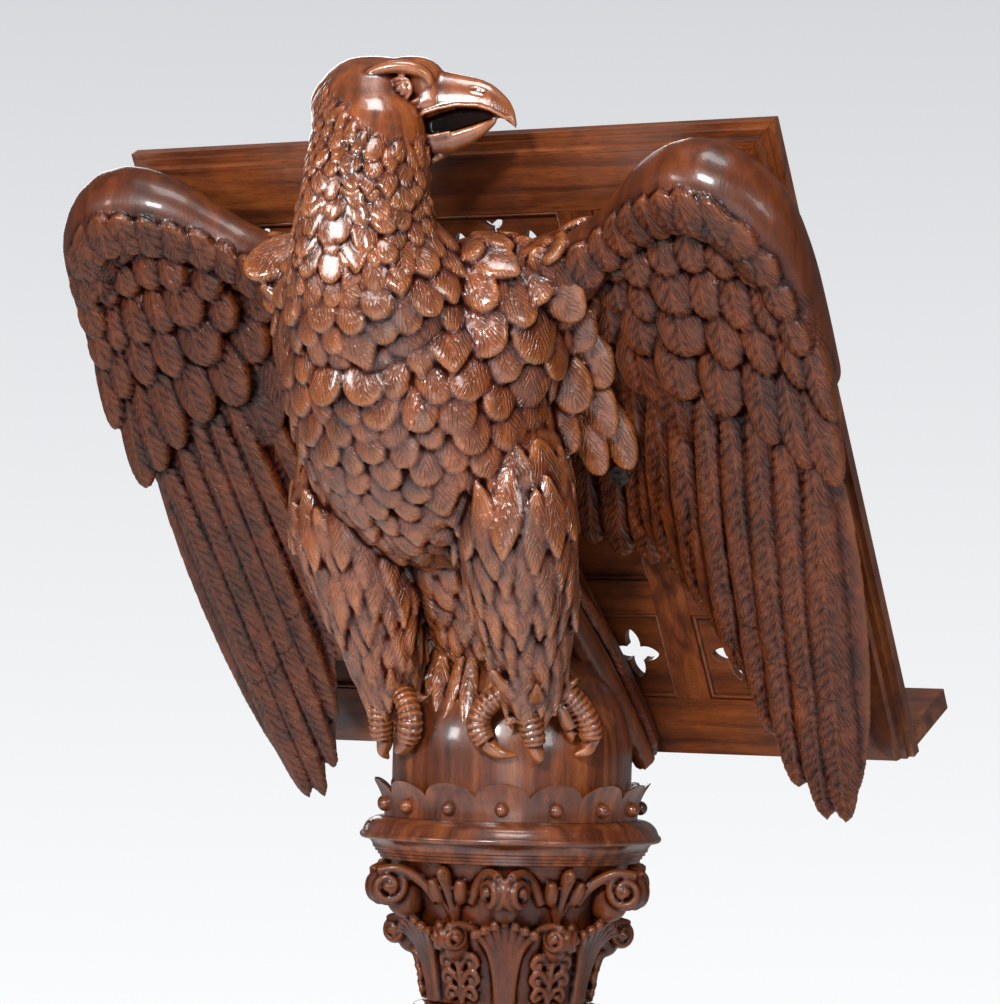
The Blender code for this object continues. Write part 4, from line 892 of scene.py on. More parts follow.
# %% Breast feathers
def body_size(place):
    local = (REST.inverted() @ place) / MM
    if local.z < 8 or abs(local.x) > 142:
        return None
    up = (place.z - DOME_FOOT) / MM
    width, length, thick, tilt = share(up, ((90, 16, 42, 9, 0.14),
                                            (150, 20, 40, 9, 0.18), (215, 25, 42, 10, 0.20),
                                            (300, 28, 44, 11, 0.21),
                                            (370, 26, 42, 11, 0.22), (440, 20, 36, 10, 0.25)))
    aside = min(1.0, max(0.0, (abs(local.x) - 60) / 40)) * min(1.0, max(0.0, (local.y - 20) / 60))
    grow = 1 + 0.35 * aside
    return width * grow * MM, length * grow * MM, thick * (1 + 0.2 * aside) * MM, tilt


def body_flow(place):
    local = (REST.inverted() @ place) / MM
    high = min(1.0, max(0.0, (local.y - 150) / 60))
    return Vector((local.x / 500 + 0.7 * high * max(-1.0, min(1.0, local.x / 60)),
                   0.25 * (place.z < DOME_FOOT + 0.3), -1))


body_scales, body_flames = lay_feathers(torso, body_size, body_flow, 0.4, 0.12)
print(len(body_scales), "round and", len(body_flames), "pointed feathers on the breast")

# %% Big lobes over the shoulder, where the wing springs from the body
shoulder_lobes = []
for side in (1, -1):
    for x, y, z, width, length in ((92, 176, 90, 40, 56), (118, 160, 76, 44, 58), (80, 140, 120, 36, 48),
                                   (108, 128, 92, 42, 56), (134, 150, 62, 40, 54), (98, 98, 100, 36, 50),
                                   (124, 104, 74, 38, 60), (112, 68, 84, 30, 56), (138, 118, 50, 34, 66),
                                   (132, 76, 52, 32, 70), (120, 42, 60, 28, 66), (136, 40, 40, 30, 70)):
        out = Vector((side * 0.75, 0.15, 1)) if z > 70 else Vector((side * 0.35, 0.1, 1))
        out = REST.to_3x3() @ out.normalized()
        start = in_rest(side * x, y, z) + out * 0.1
        hit, normal, _, _ = torso_surface.ray_cast(start, -out)
        if hit is None:
            hit, normal = in_rest(side * x, y, z), out
        hit = hit - normal * 2.5 * MM
        down = (REST.to_3x3() @ Vector((side * 0.12, -1, 0))).normalized()
        down = (down - normal * down.dot(normal)).normalized()
        shoulder_lobes.append(place_feather(hit - down * length * 0.5 * MM,
                                            hit + down * length * 0.5 * MM, normal,
                                            width * MM, 11 * MM, tilt=0.07))
print(len(shoulder_lobes), "lobes over the shoulders")


# %% Thighs
def thigh_links(side, grow=0.0):
    return [(above_dome(side * 80, -140, 247), (45 + grow) * MM),
            (above_dome(side * 82, -137, 200), (50 + grow) * MM),
            (above_dome(side * 77, -114, 140), (42 + grow) * MM),
            (above_dome(side * 72, -96, 95), (33 + grow) * MM),
            (above_dome(side * 70, -88, 62), (26 + grow) * MM)]


def behind_board(place):
    return (REST.inverted() @ place).z < 4 * MM


def thigh_size(place):
    if behind_board(place):
        return None
    up = (place.z - DOME_FOOT) / MM
    if up > 232:
        return None
    width, length, thick, tilt = share(up, ((60, 12, 62, 8, 0.09), (110, 14.5, 74, 9.5, 0.09),
                                            (170, 18, 76, 10, 0.10),
                                            (205, 23, 60, 8.5, 0.08), (232, 28, 50, 5, 0.0)))
    return width * MM, length * MM, thick * MM, tilt


def thigh_flow(place):
    """Feathers on the thigh hang down and a little back, each with a small lean of its own."""
    return (random.uniform(-0.12, 0.12), 0.22, -1)


thigh_flames = []
for side in (1, -1):
    thigh, _ = surface_of(chain(thigh_links(side), 24), 3 * MM)
    thigh_flames += lay_feathers(thigh, thigh_size, thigh_flow, 0.12, 1.0)[1]
    bpy.data.objects.remove(thigh)
print(len(thigh_flames), "feathers on the thighs")

# %% One block of body and thighs
parts = [torso] + [p for side in (1, -1) for p in chain(thigh_links(side, -1.0), 24)]
body_carving = set_in(parts, body_scales + shoulder_lobes, "eagle_body_carving", 1.8 * MM, 1,
                      body_flames + thigh_flames)
finish_carving(body_carving, body_scales + shoulder_lobes + body_flames + thigh_flames,
               CARVED, depth=1.8 * MM)
keep_inside(body_carving)
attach(body_carving, "eagle_top")
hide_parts("eagle_body")

# %% [markdown]
# ## Perch, feet and tail
# The drum and dome are turned, so they are a profile swept round the axis, which is what a lathe does.
# Each toe is a row of plates strung on a smooth line, and it ends in a smooth talon that grips the dome.
# The tail is a fan of long feathers under the book rest, with a feather like a twisted rope at either
# edge.

# %% Finishing helpers
def dress(piece, material, slot, body, *nodes):
    piece.data.materials.clear()
    piece.data.materials.append(material)
    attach(piece, body)
    if nodes:
        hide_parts(*nodes)


def arc(radius, height, reach, start, end, count):
    """Profile points on an arc, in metres and degrees."""
    return [(radius + reach * math.cos(math.radians(a)), height + reach * math.sin(math.radians(a)))
            for a in np.linspace(start, end, count)]


# %% Drum and dome
PERCH_RADIUS = 104 * MM
perch_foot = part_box("perch_block")[0][2]
drum = turned("perch_drum", [(0, DOME_FOOT + 100 * MM)]
              + [(PERCH_RADIUS * math.sin(a), DOME_FOOT + 100 * MM * math.cos(a))
                 for a in np.linspace(0.06, math.pi / 2, 26)]
              + [(PERCH_RADIUS, perch_foot + h * MM) for h in (44, 36, 28, 20, 12, 4)]
              + [(PERCH_RADIUS - 1 * MM, perch_foot), (13 * MM, perch_foot)], 128)
print("drum with", len(drum.data.polygons), "faces")


# %% Feet
def on_drum(azimuth, outside, height):
    """A point off the drum: azimuth from the front towards +X, millimetres out and above the dome's foot."""
    angle = math.radians(azimuth)
    radius = PERCH_RADIUS + outside * MM
    return Vector((radius * math.sin(angle), -radius * math.cos(angle), DOME_FOOT + height * MM))


# Toes of the foot at +X: azimuth, distance outside the drum and height of points from ankle to talon
# root.
TOES = (
    (((38, 2, 66), (30, 8, 56), (21, 11, 44), (17, 12, 30), (18, 11, 18), (21, 10, 9)),
     (27, 8, 2), (34, 6, 1)),
    (((39, 4, 66), (38, 12, 58), (37, 17, 46), (38, 17, 32), (40, 15, 18), (41, 13, 9)),
     (43, 11, -1), (43, 6, -7)),
    (((40, 2, 66), (50, 9, 60), (58, 13, 48), (63, 14, 34), (66, 12, 22), (67, 11, 13)),
     (65, 9, 5), (60, 6, 2)),
    (((43, 0, 60), (49, 6, 50), (53, 9, 40), (56, 8, 30), (58, 6, 24)), (59, 4, 18), (60, 2, 12)),
)
feet_parts = []
PLATE_PITCH = 4.6 * MM
for side in (1, -1):
    mirror = Matrix.Diagonal((side, 1, 1, 1))
    ankle = mirror @ on_drum(39.4, 0, 68)
    feet_parts.append(ball(ankle, (25 * MM, 25 * MM, 20 * MM)))
    for k in range(3):
        feet_parts.append(ball(ankle + Vector((0, -2 * MM, (2 + 6 * k) * MM)), (26 * MM, 26 * MM, 4 * MM)))
    for number, (places, claw, tip) in enumerate(TOES):
        slim = 0.72 if number == 3 else 1.0
        sizes = np.interp(np.linspace(0, 1, len(places)), (0, 0.35, 0.8, 1), (9.5, 10.5, 11.2, 9.4)) * slim
        line = smooth_line([(mirror @ on_drum(*p), s * MM) for p, s in zip(places, sizes)], 60)
        feet_parts.append(tube([(p, s * 0.90) for p, s in line[::4]]))
        travel, last = 0.0, line[0][0]
        for (place, size), (ahead, _) in zip(line[8:-2], line[9:]):
            travel += (place - last).length
            last = place
            if travel > PLATE_PITCH and number < 3:
                travel = 0.0
                feet_parts.append(ball(place, (size * 1.03, size * 1.03, 2.6 * MM),
                                       (ahead - place).to_track_quat("Z", "Y").to_euler(), 16, 8))
        end = line[-1][0]
        out = Vector((end.x, end.y, 0)).normalized() * 2 * MM
        talon = [(end + Vector((0, 0, 5 * MM)), 8.2 * slim * MM), (end - out, 7.6 * slim * MM),
                 (mirror @ on_drum(*claw), 5.6 * slim * MM), (mirror @ on_drum(*tip), 1.3 * MM)]
        feet_parts.append(tube(smooth_line(talon, 12)))
# Long flames of feather hang between the feet, against the dome.
between = []
for x, y, top, low, lean in ((-22, -96, 96, 22, 6), (-6, -100, 100, 10, -5),
                             (10, -101, 98, 4, 4), (26, -97, 94, 12, -6),
                             (-36, -86, 92, 34, 8), (38, -90, 84, 30, -4), (2, -92, 104, 34, 0)):
    between.append(place_feather(above_dome(x - lean, y + 26, top),
                                 above_dome(x + lean, y, low), (0.1 * lean, -1, 0.2),
                                 17 * MM, 10 * MM))
feet = set_in(feet_parts, [], "eagle_feet_carving", 1.25 * MM, 1, between)
finish_carving(feet, between, CARVED, depth=1.3 * MM)
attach(feet, "eagle_top")
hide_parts("perch_block")

# %% Tail
def cad_block(node):
    """A copy of a CAD node's skin, with its corners welded."""
    block = bpy.data.objects.new(node + "_block", bpy.data.objects[node].data.copy())
    bpy.context.scene.collection.objects.link(block)
    use(block)
    bpy.ops.object.mode_set(mode="EDIT")
    bpy.ops.mesh.select_all(action="SELECT")
    bpy.ops.mesh.remove_doubles(threshold=0.00002)
    bpy.ops.object.mode_set(mode="OBJECT")
    return block


tail_parts = [cad_block("tail")]
tail_feathers = []
for lean in (-3, -2, -1, 1, 2, 3, 0):
    root = in_rest(lean * 9, -50, 50 - abs(lean) * 4)
    tip = in_rest(lean * 23, -286 + 4 * abs(lean), 24 - abs(lean) * 1.5)
    tail_feathers.append(place_feather(root, tip, forward, 44 * MM, 20 * MM))
for side in (1, -1):
    edge = smooth_line([(in_rest(side * 40, -40, 70), 12 * MM), (in_rest(side * 50, -110, 60), 14 * MM),
                        (in_rest(side * 64, -190, 48), 15 * MM), (in_rest(side * 78, -284, 34), 10 * MM)],
                       40)
    tail_parts.append(tube(edge[::3]))
    for k, ((place, size), (ahead, _)) in enumerate(zip(edge[:-1], edge[1:])):
        if k % 2 == 0:
            run = (ahead - place).normalized()
            twist = (run + forward * 0.9 + Vector((side * 0.5, 0, 0))).normalized()
            tail_parts.append(ball(place + forward * 2 * MM, (3.6 * MM, 3.6 * MM, size * 1.25),
                                   twist.to_track_quat("Z", "Y").to_euler(), 12, 8))
tail = set_in(tail_parts, tail_feathers, "tail_carving", 1.9 * MM, ease=1)
finish_carving(tail, tail_feathers, SHADED, grooves=0.8 * MM, groove_pitch=8 * MM)
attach(tail, "eagle_top")
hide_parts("tail")

# %% [markdown]
# ## Crown, cap and capital
# The crown is a ring of fifteen flared petals with a turned bead in each. It could be bent from one
# petal, but a profile swept round the axis, with its height read from the petals' outline, closes on
# itself without a seam. Under it is a moulded cap, and then a bell with scrolls, husks and fluted leaves,
# made once and set six times round.

# %% Crown gallery
cap_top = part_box("cap_moulding")[1][2]
capital_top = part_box("capital")[1][2]
capital_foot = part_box("capital")[0][2]
PETALS = 15
PETAL_TURN = math.radians(9.7)
GALLERY_RADIUS, FLARE, GALLERY_HEIGHT, PETAL_DEPTH, WALL = [v * MM for v in (110, 11, 31.7, 15, 4.0)]


def petal_edge(angle):
    """Height of the petals' rounded heads, as a share of the gallery's height."""
    turn = ((angle - PETAL_TURN) * PETALS / (2 * math.pi) + 0.5) % 1.0 * 2 - 1
    return 1 - PETAL_DEPTH / GALLERY_HEIGHT * (1 - np.sqrt(np.clip(1 - turn ** 2, 0, 1)))


def flare(angle, radius, height):
    rise = height * petal_edge(angle)
    return radius + FLARE * rise ** 2.2, cap_top + 0.3 * MM + GALLERY_HEIGHT * rise


rings = 12
outer = [(GALLERY_RADIUS, k / rings) for k in range(rings + 1)]
inner = [(GALLERY_RADIUS - WALL * (1 - 0.45 * k / rings), k / rings) for k in range(rings, -1, -1)]
gallery = turned("crown_carving", outer + [(GALLERY_RADIUS - 0.7 * MM, 1.004)] + inner + outer[:1],
                 PETALS * 24, flare)
gallery.data.set_sharp_from_angle(angle=math.radians(50))
beads = []
for k in range(PETALS):
    angle = PETAL_TURN + 2 * math.pi * k / PETALS
    out = Vector((math.cos(angle), math.sin(angle), 0))
    place = out * (GALLERY_RADIUS + 2.2 * MM) + Vector((0, 0, cap_top + 10.3 * MM))
    turn = out.to_track_quat("Z", "Y").to_euler()
    beads.append(ball(place, (6.2 * MM, 6.2 * MM, 6.4 * MM), turn, 20, 14))
beads = join(beads, "crown_beads")
beads.data.shade_smooth()
print("crown of", PETALS, "petals,", len(gallery.data.polygons), "faces")

# %% Cap and lower turned work
edge = GALLERY_RADIUS + 3 * MM
cap_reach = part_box("cap_moulding")[1][0]
cap = turned("cap_turning", [(13 * MM, cap_top), (edge, cap_top)]
             + arc(edge, cap_top - 16 * MM, 16 * MM, 84, 32, 9)
             + arc(cap_reach - 3.2 * MM, cap_top - 16 * MM, 3.2 * MM, 70, -80, 9)
             + arc(cap_reach - 3.5 * MM, cap_top - 27.2 * MM, 8 * MM, 95, 178, 9)
             + [(cap_reach - 13.5 * MM, cap_top - 28 * MM), (cap_reach - 13.5 * MM, cap_top - 30 * MM),
                (cap_reach - 16 * MM, cap_top - 30.5 * MM), (cap_reach - 16 * MM, cap_top - 33 * MM),
                (cap_reach - 18 * MM, cap_top - 33.4 * MM), (cap_reach - 18 * MM, capital_top + 0.3 * MM),
                (13 * MM, capital_top + 0.3 * MM)], 128)
cap.data.set_sharp_from_angle(angle=math.radians(40))
print("cap with", len(cap.data.polygons), "faces")

# %% Bell of the capital
BELL_TOP, BELL_FOOT = 105 * MM, 70 * MM
bell_height = capital_top - capital_foot
print("bell", round(bell_height / MM, 1), "mm high")


def bell_radius(below):
    return BELL_FOOT + (BELL_TOP - BELL_FOOT) * (1 - below * MM / bell_height) ** 1.6


def on_bell(azimuth, out, below):
    """A point off the bell: azimuth in degrees, millimetres out from its face and below its top."""
    angle = math.radians(azimuth)
    radius = bell_radius(below) + out * MM
    return Vector((radius * math.cos(angle), radius * math.sin(angle), capital_top - below * MM))


# %% Scrolls
def scroll(azimuth, reach, below, size):
    """A pair of spirals set back to back, each with a ball for its eye, and the stalks that run into them."""
    angle = math.radians(azimuth)
    out = Vector((math.cos(angle), math.sin(angle), 0))
    aside = Vector((-math.sin(angle), math.cos(angle), 0))
    pieces = []
    for side in (1, -1):
        centre = out * reach + aside * side * size * 0.50 + Vector((0, 0, capital_top - below * MM))
        normal = (out * 0.50 + aside * side * 0.86).normalized()
        right = normal.cross(Vector((0, 0, 1))) * side
        spiral = []
        for k in range(34):
            turn = math.radians(125 - k * 17)
            r = size * (0.86 - 0.62 * k / 33)
            spiral.append((centre + right * side * math.cos(turn) * r * -side
                           + Vector((0, 0, math.sin(turn) * r))
                           + normal * size * (0.05 + 0.34 * k / 33), size * (0.21 - 0.06 * k / 33)))
        pieces.append(tube(spiral, 4))
        pieces.append(ball(centre + normal * size * 0.36, (size * 0.25,) * 3, segments=16, rings=10))
        pieces.append(ball(centre - normal * size * 0.10, (size * 0.92, size * 0.92, size * 0.36),
                           normal.to_track_quat("Z", "Y").to_euler(), 24, 12))
        start = spiral[0][0]
        stalk = [(start, size * 0.22),
                 (start - out * size * 0.8 + aside * side * size * 0.55 + Vector((0, 0, size * 0.12)),
                  size * 0.24),
                 (on_bell(azimuth + side * 14, 2, below - 4), size * 0.26),
                 (on_bell(azimuth + side * 19, 0, below + 12), size * 0.2)]
        pieces.append(tube(smooth_line(stalk, 14), 4))
    core = Vector((0, 0, capital_top - below * MM))
    pieces.append(ball(core + out * (reach - size * 0.5),
                       (size * 0.95, size * 0.62, size * 0.85), (0, 0, angle)))
    pieces.append(ball(core + out * (reach - size * 1.2) - Vector((0, 0, size * 0.5)),
                       (size, size * 0.8, size),
                       (0, 0, angle)))
    return pieces


unit = scroll(30, 122 * MM, 22, 18.5 * MM) + scroll(0, 99 * MM, 63, 13.5 * MM)
print(len(unit), "pieces in an upper and a lower scroll")

# %% Tall fluted leaf under the upper scroll: ribs that fan out to a lobed lip
for j in (-3, -2, -1, 0, 1, 2, 3):
    rib = [(on_bell(30 + j * 1.6, 1, 122), 3.4 * MM), (on_bell(30 + j * 2.0, 2.5, 98), 3.2 * MM),
           (on_bell(30 + j * 3.0, 4, 74), 3.8 * MM), (on_bell(30 + j * 4.4, 8, 55 + abs(j) * 2.5), 4.6 * MM),
           (on_bell(30 + j * 5.2, 13, 47 + abs(j) * 4), 4.0 * MM),
           (on_bell(30 + j * 5.4, 14, 52 + abs(j) * 4), 2.6 * MM)]
    unit.append(tube(smooth_line(rib, 20), 4))

# %% Husk between the upper scrolls, and the sprig under the lower one
unit.append(tube(smooth_line([(on_bell(0, 3, 58), 2.6 * MM),
                              (on_bell(0, 2, 40), 3 * MM), (on_bell(0, 3, 22), 5 * MM),
                              (on_bell(0, 6, 9), 6.5 * MM),
                              (on_bell(0, 10, 8), 4 * MM), (on_bell(0, 11, 14), 2.4 * MM)],
                             18), 4))
for side in (1, -1):
    unit.append(tube(smooth_line([(on_bell(side * 1, 2, 50), 1.8 * MM), (on_bell(side * 4, 2, 36), 2.2 * MM),
                                  (on_bell(side * 6.5, 4, 30), 5.4 * MM),
                                  (on_bell(side * 7.5, 5, 21), 6 * MM),
                                  (on_bell(side * 8, 4, 14), 4 * MM)], 16), 4))
    # Sprig under the lower scroll: curled lobes and a berry on either side of a stem.
    for low, wide, size in ((114, 3.5, 3.4), (100, 5, 4), (86, 5, 4)):
        lobe = [(on_bell(side * 0.5, 2, low + 6), 1.8 * MM),
                (on_bell(side * wide, 4, low - 5), size * 0.7 * MM),
                (on_bell(side * (wide + 5), 5, low - 7), size * 0.75 * MM),
                (on_bell(side * (wide + 8), 4, low), 2.4 * MM),
                (on_bell(side * (wide + 5), 4, low + 5), 1.8 * MM)]
        unit.append(tube(smooth_line(lobe, 18), 4))
        unit.append(ball(on_bell(side * (wide + 3.5), 3.5, low + 0.5),
                         (size * 0.95 * MM,) * 3, segments=14, rings=10))
unit.append(tube([(on_bell(0, 2, 122), 2.6 * MM), (on_bell(0, 4, 95), 2.4 * MM),
                  (on_bell(0, 6, 76), 2.6 * MM)], 4))
print(len(unit), "pieces in a sixth of the capital")

# %% The capital, six times round
UNITS = 6
unit = join(unit, "capital_unit")
copies = []
for k in range(1, UNITS):
    copy = bpy.data.objects.new("capital_unit", unit.data.copy())
    copy.matrix_world = Matrix.Rotation(2 * math.pi * k / UNITS, 4, "Z")
    bpy.context.scene.collection.objects.link(copy)
    copies.append(copy)
bell = turned("bell", [(0, capital_top)]
              + [(bell_radius(b), capital_top - b * MM) for b in np.linspace(0, 122.8, 20)]
              + [(0, capital_foot)], 96)
for copy in [unit] + copies:
    copy.data.transform(Matrix.Rotation(math.pi / UNITS, 4, "Z"))
capital = set_in([bell, unit] + copies, [], "capital_carving", 1.35 * MM, ease=1)
finish_carving(capital, [], SHADED, depth=1.6 * MM)
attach(capital, "stand")
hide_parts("capital")

# %% [markdown]
# ## Book rest
# This is frame and panel joinery. The rails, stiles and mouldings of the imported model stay, with their
# sharp edges softened by a bevel. The pierced panels are cut again with leaf-shaped lights by Boolean, as
# a fretsaw would, and a small bead runs round every panel, where a joiner would run a moulding to hide
# the groove.

# %% Sizes of the rest and its panels, in millimetres
HALF_WIDTH, HALF_LENGTH = 320, 292
MOULDING, STILE, TOP_RAIL, BOTTOM_RAIL, MUNTIN, CENTRE, ROW = 17, 33, 50, 55, 33, 209.3, 83
inner_half = HALF_WIDTH - MOULDING - STILE
row_top = HALF_LENGTH - MOULDING - TOP_RAIL
row_foot = -HALF_LENGTH + BOTTOM_RAIL
COLUMNS = {"left": (CENTRE / 2 + MUNTIN, inner_half, 2), "centre": (-CENTRE / 2, CENTRE / 2, 3),
           "right": (-inner_half, -CENTRE / 2 - MUNTIN, 2)}
ROWS = {"upper": (row_top - ROW, row_top), "middle": (row_foot + ROW + MUNTIN, row_top - ROW - MUNTIN),
        "lower": (row_foot, row_foot + ROW)}
PANEL_LOW, PANEL_HIGH = -13, -5
TONGUE = 6                                  # a panel's edge in its groove
CUT_LOW, CUT_HIGH = -20, 2                  # a cutter passes right through
print("columns", COLUMNS, "rows", ROWS)


# %% Cutters for the tracery
def leaf(centre, turn, start, reach, half, low, high):
    """A pointed-oval cutter that lies in the rest's plane, from start to reach along turn."""
    deselect()
    bpy.ops.mesh.primitive_cylinder_add(vertices=20, radius=1, depth=2)
    piece = bpy.context.object
    flat = vertices_of(piece.data)
    along = (flat[:, 0] + 1) / 2
    wide = np.sign(flat[:, 1]) * np.abs(flat[:, 1]) ** 1.5 * half
    x = start + along * (reach - start)
    z = np.where(flat[:, 2] > 0, high, low)
    set_vertices(piece.data, np.stack([centre[0] + x * math.cos(turn) - wide * math.sin(turn),
                                       centre[1] + x * math.sin(turn) + wide * math.cos(turn), z],
                                      axis=1) * MM)
    return piece


def triangle(corner, size, turn, low, high):
    deselect()
    bpy.ops.mesh.primitive_cylinder_add(vertices=3, radius=1, depth=2)
    piece = bpy.context.object
    flat = vertices_of(piece.data)
    angle = np.arctan2(flat[:, 0], flat[:, 1]) + turn
    z = np.where(flat[:, 2] > 0, high, low)
    set_vertices(piece.data, np.stack([corner[0] + size * np.cos(angle),
                                       corner[1] + size * np.sin(angle), z],
                                      axis=1) * MM)
    return piece


def panel_box(left, right, foot, head):
    deselect()
    bpy.ops.mesh.primitive_cube_add(size=2)
    piece = bpy.context.object
    flat = vertices_of(piece.data)
    set_vertices(piece.data, np.stack([np.where(flat[:, 0] > 0, right, left),
                                       np.where(flat[:, 1] > 0, head, foot),
                                       np.where(flat[:, 2] > 0, PANEL_HIGH, PANEL_LOW)], axis=1) * MM)
    return piece


def soften(piece, width, segments=2):
    bevel = piece.modifiers.new("soft_edges", "BEVEL")
    bevel.width = width
    bevel.segments = segments
    bevel.limit_method = "ANGLE"
    bevel.angle_limit = math.radians(38)
    bevel.harden_normals = False


# %% Pierced panels
panels = []
for column, (left, right, cells) in COLUMNS.items():
    for row, (foot, head) in ROWS.items():
        if row == "middle":
            continue
        panel = panel_box(left - TONGUE, right + TONGUE, foot - TONGUE, head + TONGUE)
        cell, middle = (right - left) / cells, (foot + head) / 2
        lights, dents = [], []
        for k in range(cells):
            centre = (left + cell * (k + 0.5), middle)
            lights += [leaf(centre, math.pi / 2 * q, -2.5, 24, 7.2, CUT_LOW, CUT_HIGH) for q in range(4)]
            for sign in (1, -1) if k else ():
                joint = (left + cell * k, middle + sign * ROW * 0.33)
                lights += [leaf(joint, math.pi / 2 * sign + 2 * math.pi / 3 * q + math.pi,
                                -1.5, 12.5, 3.4, CUT_LOW, CUT_HIGH)
                           for q in range(3)]
        for x, y in ((left, foot), (left, head), (right, foot), (right, head)):
            inward = (math.copysign(12, (left + right) / 2 - x), math.copysign(12, middle - y))
            dents.append(triangle((x + inward[0], y + inward[1]), 9.5,
                                  math.atan2(-inward[1], -inward[0]) - math.pi / 2 + math.pi,
                                  PANEL_HIGH - 2.2, CUT_HIGH))
        for tools in (lights, dents):
            cutter = join(tools, "panel_cutter")
            apply_modifier(panel, "BOOLEAN", operation="DIFFERENCE",
                           solver="EXACT", object=cutter, use_self=True)
            bpy.data.objects.remove(cutter)
        panel.name = f"{row}_{column}_panel_tracery"
        panel.data.transform(REST)
        soften(panel, 0.9 * MM)
        panels.append((panel, f"{row}_{column}_panel"))
print(len(panels), "pierced panels")

# %% Bead round every panel, on both faces
BEAD_INSET = 2.0
bead_runs = []
for left, right, _ in COLUMNS.values():
    for foot, head in ROWS.values():
        for depth, size in ((-2.9, 2.4), (-15.2, 2.2)):
            near, far = left + BEAD_INSET, right - BEAD_INSET
            low, high = foot + BEAD_INSET, head - BEAD_INSET
            corners = [(near, low), (far, low), (far, high), (near, high)]
            bead_runs.append(tube([(Vector((x, y, depth)) * MM, size * MM) for x, y in corners],
                                  3, cyclic=True))
panel_beads = join(bead_runs, "panel_bead_moulding")
panel_beads.data.transform(REST)
panel_beads.data.shade_smooth()
panel_beads.data.set_sharp_from_angle(angle=math.radians(50))
print(len(COLUMNS) * len(ROWS), "panels with a bead on either face")

# %% [markdown]
# ## Finishes on the rest
# Each board has grain along its own length, so the walnut is made twice, with its figure across the rest
# and up it. One finish for all would run the grain across half the boards. The turned pieces share one
# finish, and the iron is dull and brown from handling.

# %% Finish every piece
TURNED = walnut("turned_walnut_waxed", "Z", ("#3a1b0d", "#6d3417", "#935227"), 0.30)
JOINERY_ACROSS = walnut("joinery_walnut_across", "X", ("#38190c", "#6e3616", "#8e4c22"), 0.38)
JOINERY_UP = walnut("joinery_walnut_up", "Z", ("#38190c", "#6e3616", "#8e4c22"), 0.38)

iron = bpy.data.materials.new("dull_iron")
iron.use_nodes = True
tree = iron.node_tree
iron_shader = tree.nodes["Principled BSDF"]
iron_at = add_node(tree, "ShaderNodeTexCoord").outputs["Object"]
iron_patch = add_node(tree, "ShaderNodeTexNoise",
                      {"Vector": iron_at, "Scale": 1 / (5 * MM), "Detail": 4.0}).outputs["Fac"]
tree.links.new(ramp(tree, iron_patch, [(0.35, "#2b2320"), (0.55, "#6d655c"), (0.75, "#8f8a80")]),
               iron_shader.inputs["Base Color"])
tree.links.new(add_node(tree, "ShaderNodeBump",
                        {"Height": iron_patch, "Strength": 0.4, "Distance": 0.3 * MM}).outputs[0],
               iron_shader.inputs["Normal"])
iron_shader.inputs["Metallic"].default_value = 0.85
iron_shader.inputs["Roughness"].default_value = 0.42
beech = walnut("bare_beech", "Z", ("#8a6a46", "#a8865c", "#c4a478"), 0.6)

dress(drum, TURNED, "carved_walnut", "eagle_top")
dress(gallery, TURNED, "carved_walnut", "stand", "crown_gallery")
dress(beads, TURNED, "turned_walnut", "stand", *[f"crown_bead_{k:02d}" for k in range(1, PETALS + 1)])
dress(cap, TURNED, "turned_walnut", "stand", "cap_moulding")
for panel, node in panels:
    dress(panel, JOINERY_ACROSS, "joinery_walnut", "eagle_top", node)
dress(panel_beads, JOINERY_ACROSS, "joinery_walnut", "eagle_top")
for name in [part["node"] for part in frame["record"]["subparts"]]:
    piece = bpy.data.objects.get(name)
    if piece is None:
        continue
    if any(word in name for word in ("pin", "plate", "bolt", "nut")) and "muntin" not in name:
        finish = iron
    elif "dowel" in name:
        finish = beech
    elif any(word in name for word in ("stile", "muntin", "left_moulding", "right_moulding")):
        finish = JOINERY_UP
    elif any(word in name for word in ("rail", "panel", "ledge", "top_moulding")):
        finish = JOINERY_ACROSS
    else:
        finish = TURNED
    piece.data.materials.clear()
    piece.data.materials.append(finish)
    if finish in (JOINERY_UP, JOINERY_ACROSS) and not piece.hide_render:
        soften(piece, 0.8 * MM)


# %% [markdown]
# ## Camera, light and floor
# A long lens at eye level keeps the uprights upright. One even light all round would flatten the carving,
# so the key is a fairly small soft box high in front, which draws a shadow under each feather, and five
# weaker lamps open those shadows. Floor and backdrop are one pale sheet and a pale sky.

# %% Camera
EYE_HEIGHT = 1.2500
CAMERA_AZIMUTH = math.radians(31.77)
CAMERA_DISTANCE = 3.6404
CAMERA_ROLL = math.radians(1.29)
FRAME_HEIGHT = 36                           # of the film, in millimetres, and the lens is in the same unit
camera_data = bpy.data.cameras.new("camera")
camera = bpy.data.objects.new("camera", camera_data)
bpy.context.scene.collection.objects.link(camera)
camera.location = (CAMERA_DISTANCE * math.sin(CAMERA_AZIMUTH),
                   -CAMERA_DISTANCE * math.cos(CAMERA_AZIMUTH), EYE_HEIGHT)
camera_data.sensor_width = FRAME_HEIGHT
camera_data.sensor_fit = "VERTICAL"
camera_data.sensor_height = FRAME_HEIGHT
camera_data.lens = 150.201753
camera.rotation_euler = Euler((math.pi / 2, 0, CAMERA_AZIMUTH)).to_matrix().to_euler()
camera.rotation_euler.rotate_axis("Z", CAMERA_ROLL)
camera_data.shift_x = -0.0148008
camera_data.shift_y = 0.14088645
bpy.context.scene.camera = camera
print("camera at", tuple(round(v, 3) for v in camera.location))

# %% Light
def lamp(name, place, aim, size, power, colour="#ffffff"):
    data = bpy.data.lights.new(name, "AREA")
    data.shape = "SQUARE"
    data.size = size
    data.energy = power
    data.color = linear(colour)[:3]
    light = bpy.data.objects.new(name, data)
    light.location = place
    light.rotation_euler = (Vector(aim) - Vector(place)).to_track_quat("-Z", "Y").to_euler()
    bpy.context.scene.collection.objects.link(light)


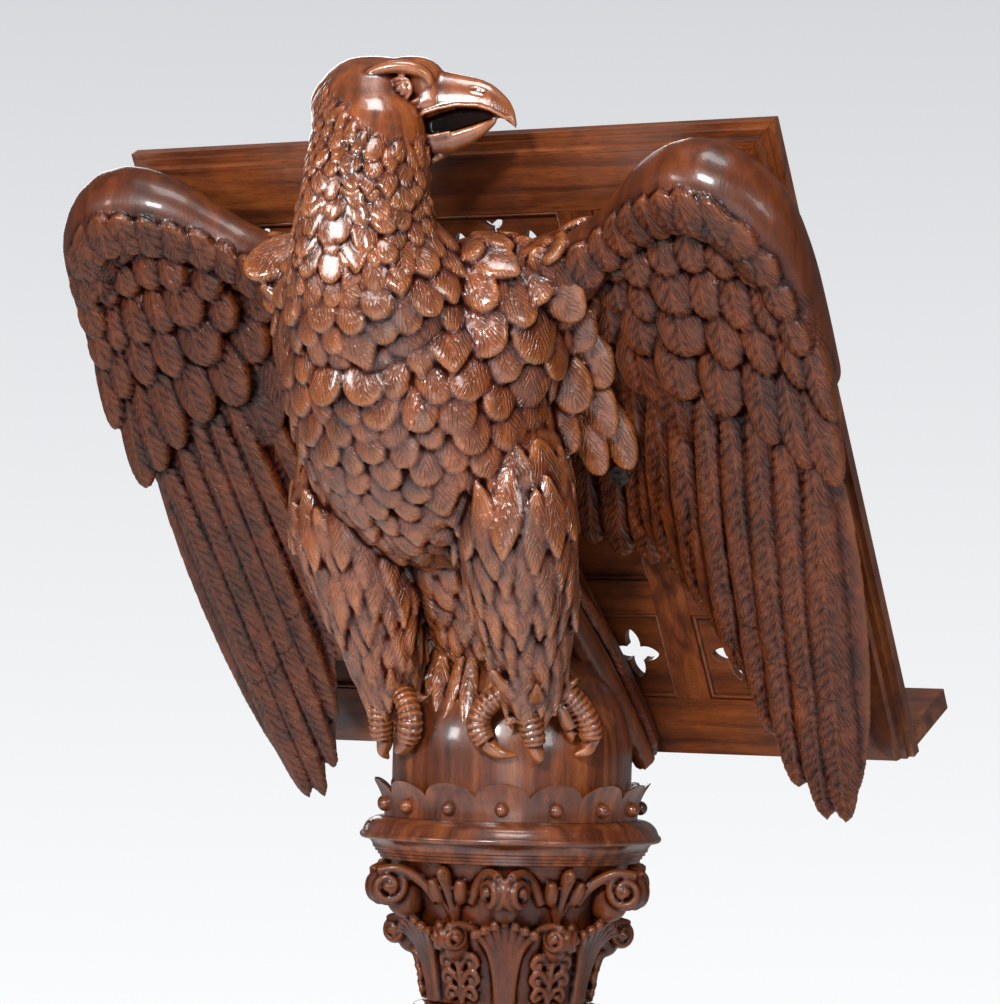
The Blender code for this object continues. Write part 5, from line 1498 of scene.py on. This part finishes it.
lamp("key", (0.8, -3.4, 2.7), (0, -0.15, 1.35), 0.5, 128)
lamp("fill", (3.4, -1.7, 2.2), (0, -0.15, 1.35), 0.9, 36)
lamp("left", (-1.6, -3.0, 2.2), (0, -0.15, 1.35), 0.6, 38)
lamp("top", (0.6, -0.9, 3.9), (0, -0.1, 1.3), 1.0, 46)
lamp("low", (1.6, -2.8, 0.5), (0, -0.1, 1.3), 1.4, 16)
lamp("back", (-2.4, 2.6, 2.4), (0, 0, 1.3), 1.6, 40)
print(len(bpy.data.lights), "lamps")

# %% Room: the eye sees a pale gradient, and the wood is lit by a dimmer one
world = bpy.data.worlds.new("studio")
world.use_nodes = True
tree = world.node_tree
background = tree.nodes["Background"]
way = add_node(tree, "ShaderNodeTexCoord").outputs["Generated"]
rise = add_node(tree, "ShaderNodeSeparateXYZ", {"Vector": way}).outputs["Z"]
level = add_node(tree, "ShaderNodeMapRange", {"Value": rise, "From Min": -0.09, "From Max": 0.16}).outputs[0]
sky = ramp(tree, level, [(0.0, "#fbfcfd"), (0.45, "#eceef0"), (1.0, "#d5d7da")])
seen = add_node(tree, "ShaderNodeLightPath").outputs["Is Camera Ray"]
strength = add_node(tree, "ShaderNodeMapRange", {"Value": seen, "To Min": 0.20, "To Max": 1.0}).outputs[0]
tree.links.new(sky, background.inputs["Color"])
tree.links.new(strength, background.inputs["Strength"])
bpy.context.scene.world = world
bpy.context.scene.view_settings.view_transform = "Standard"

# %% Floor, one flat pale sheet; the pale sky is the backdrop
deselect()
bpy.ops.mesh.primitive_plane_add(size=14, location=(0, 0, -0.0005))
floor = bpy.context.object
floor.name = "studio_floor"
paper = bpy.data.materials.new("pale_paper")
paper.use_nodes = True
paper.node_tree.nodes["Principled BSDF"].inputs["Base Color"].default_value = linear("#e8eaec")
paper.node_tree.nodes["Principled BSDF"].inputs["Roughness"].default_value = 0.9
floor.data.materials.append(paper)

# %% The end: the two feather blanks are removed
bpy.data.objects.remove(blank)
bpy.data.objects.remove(flame)
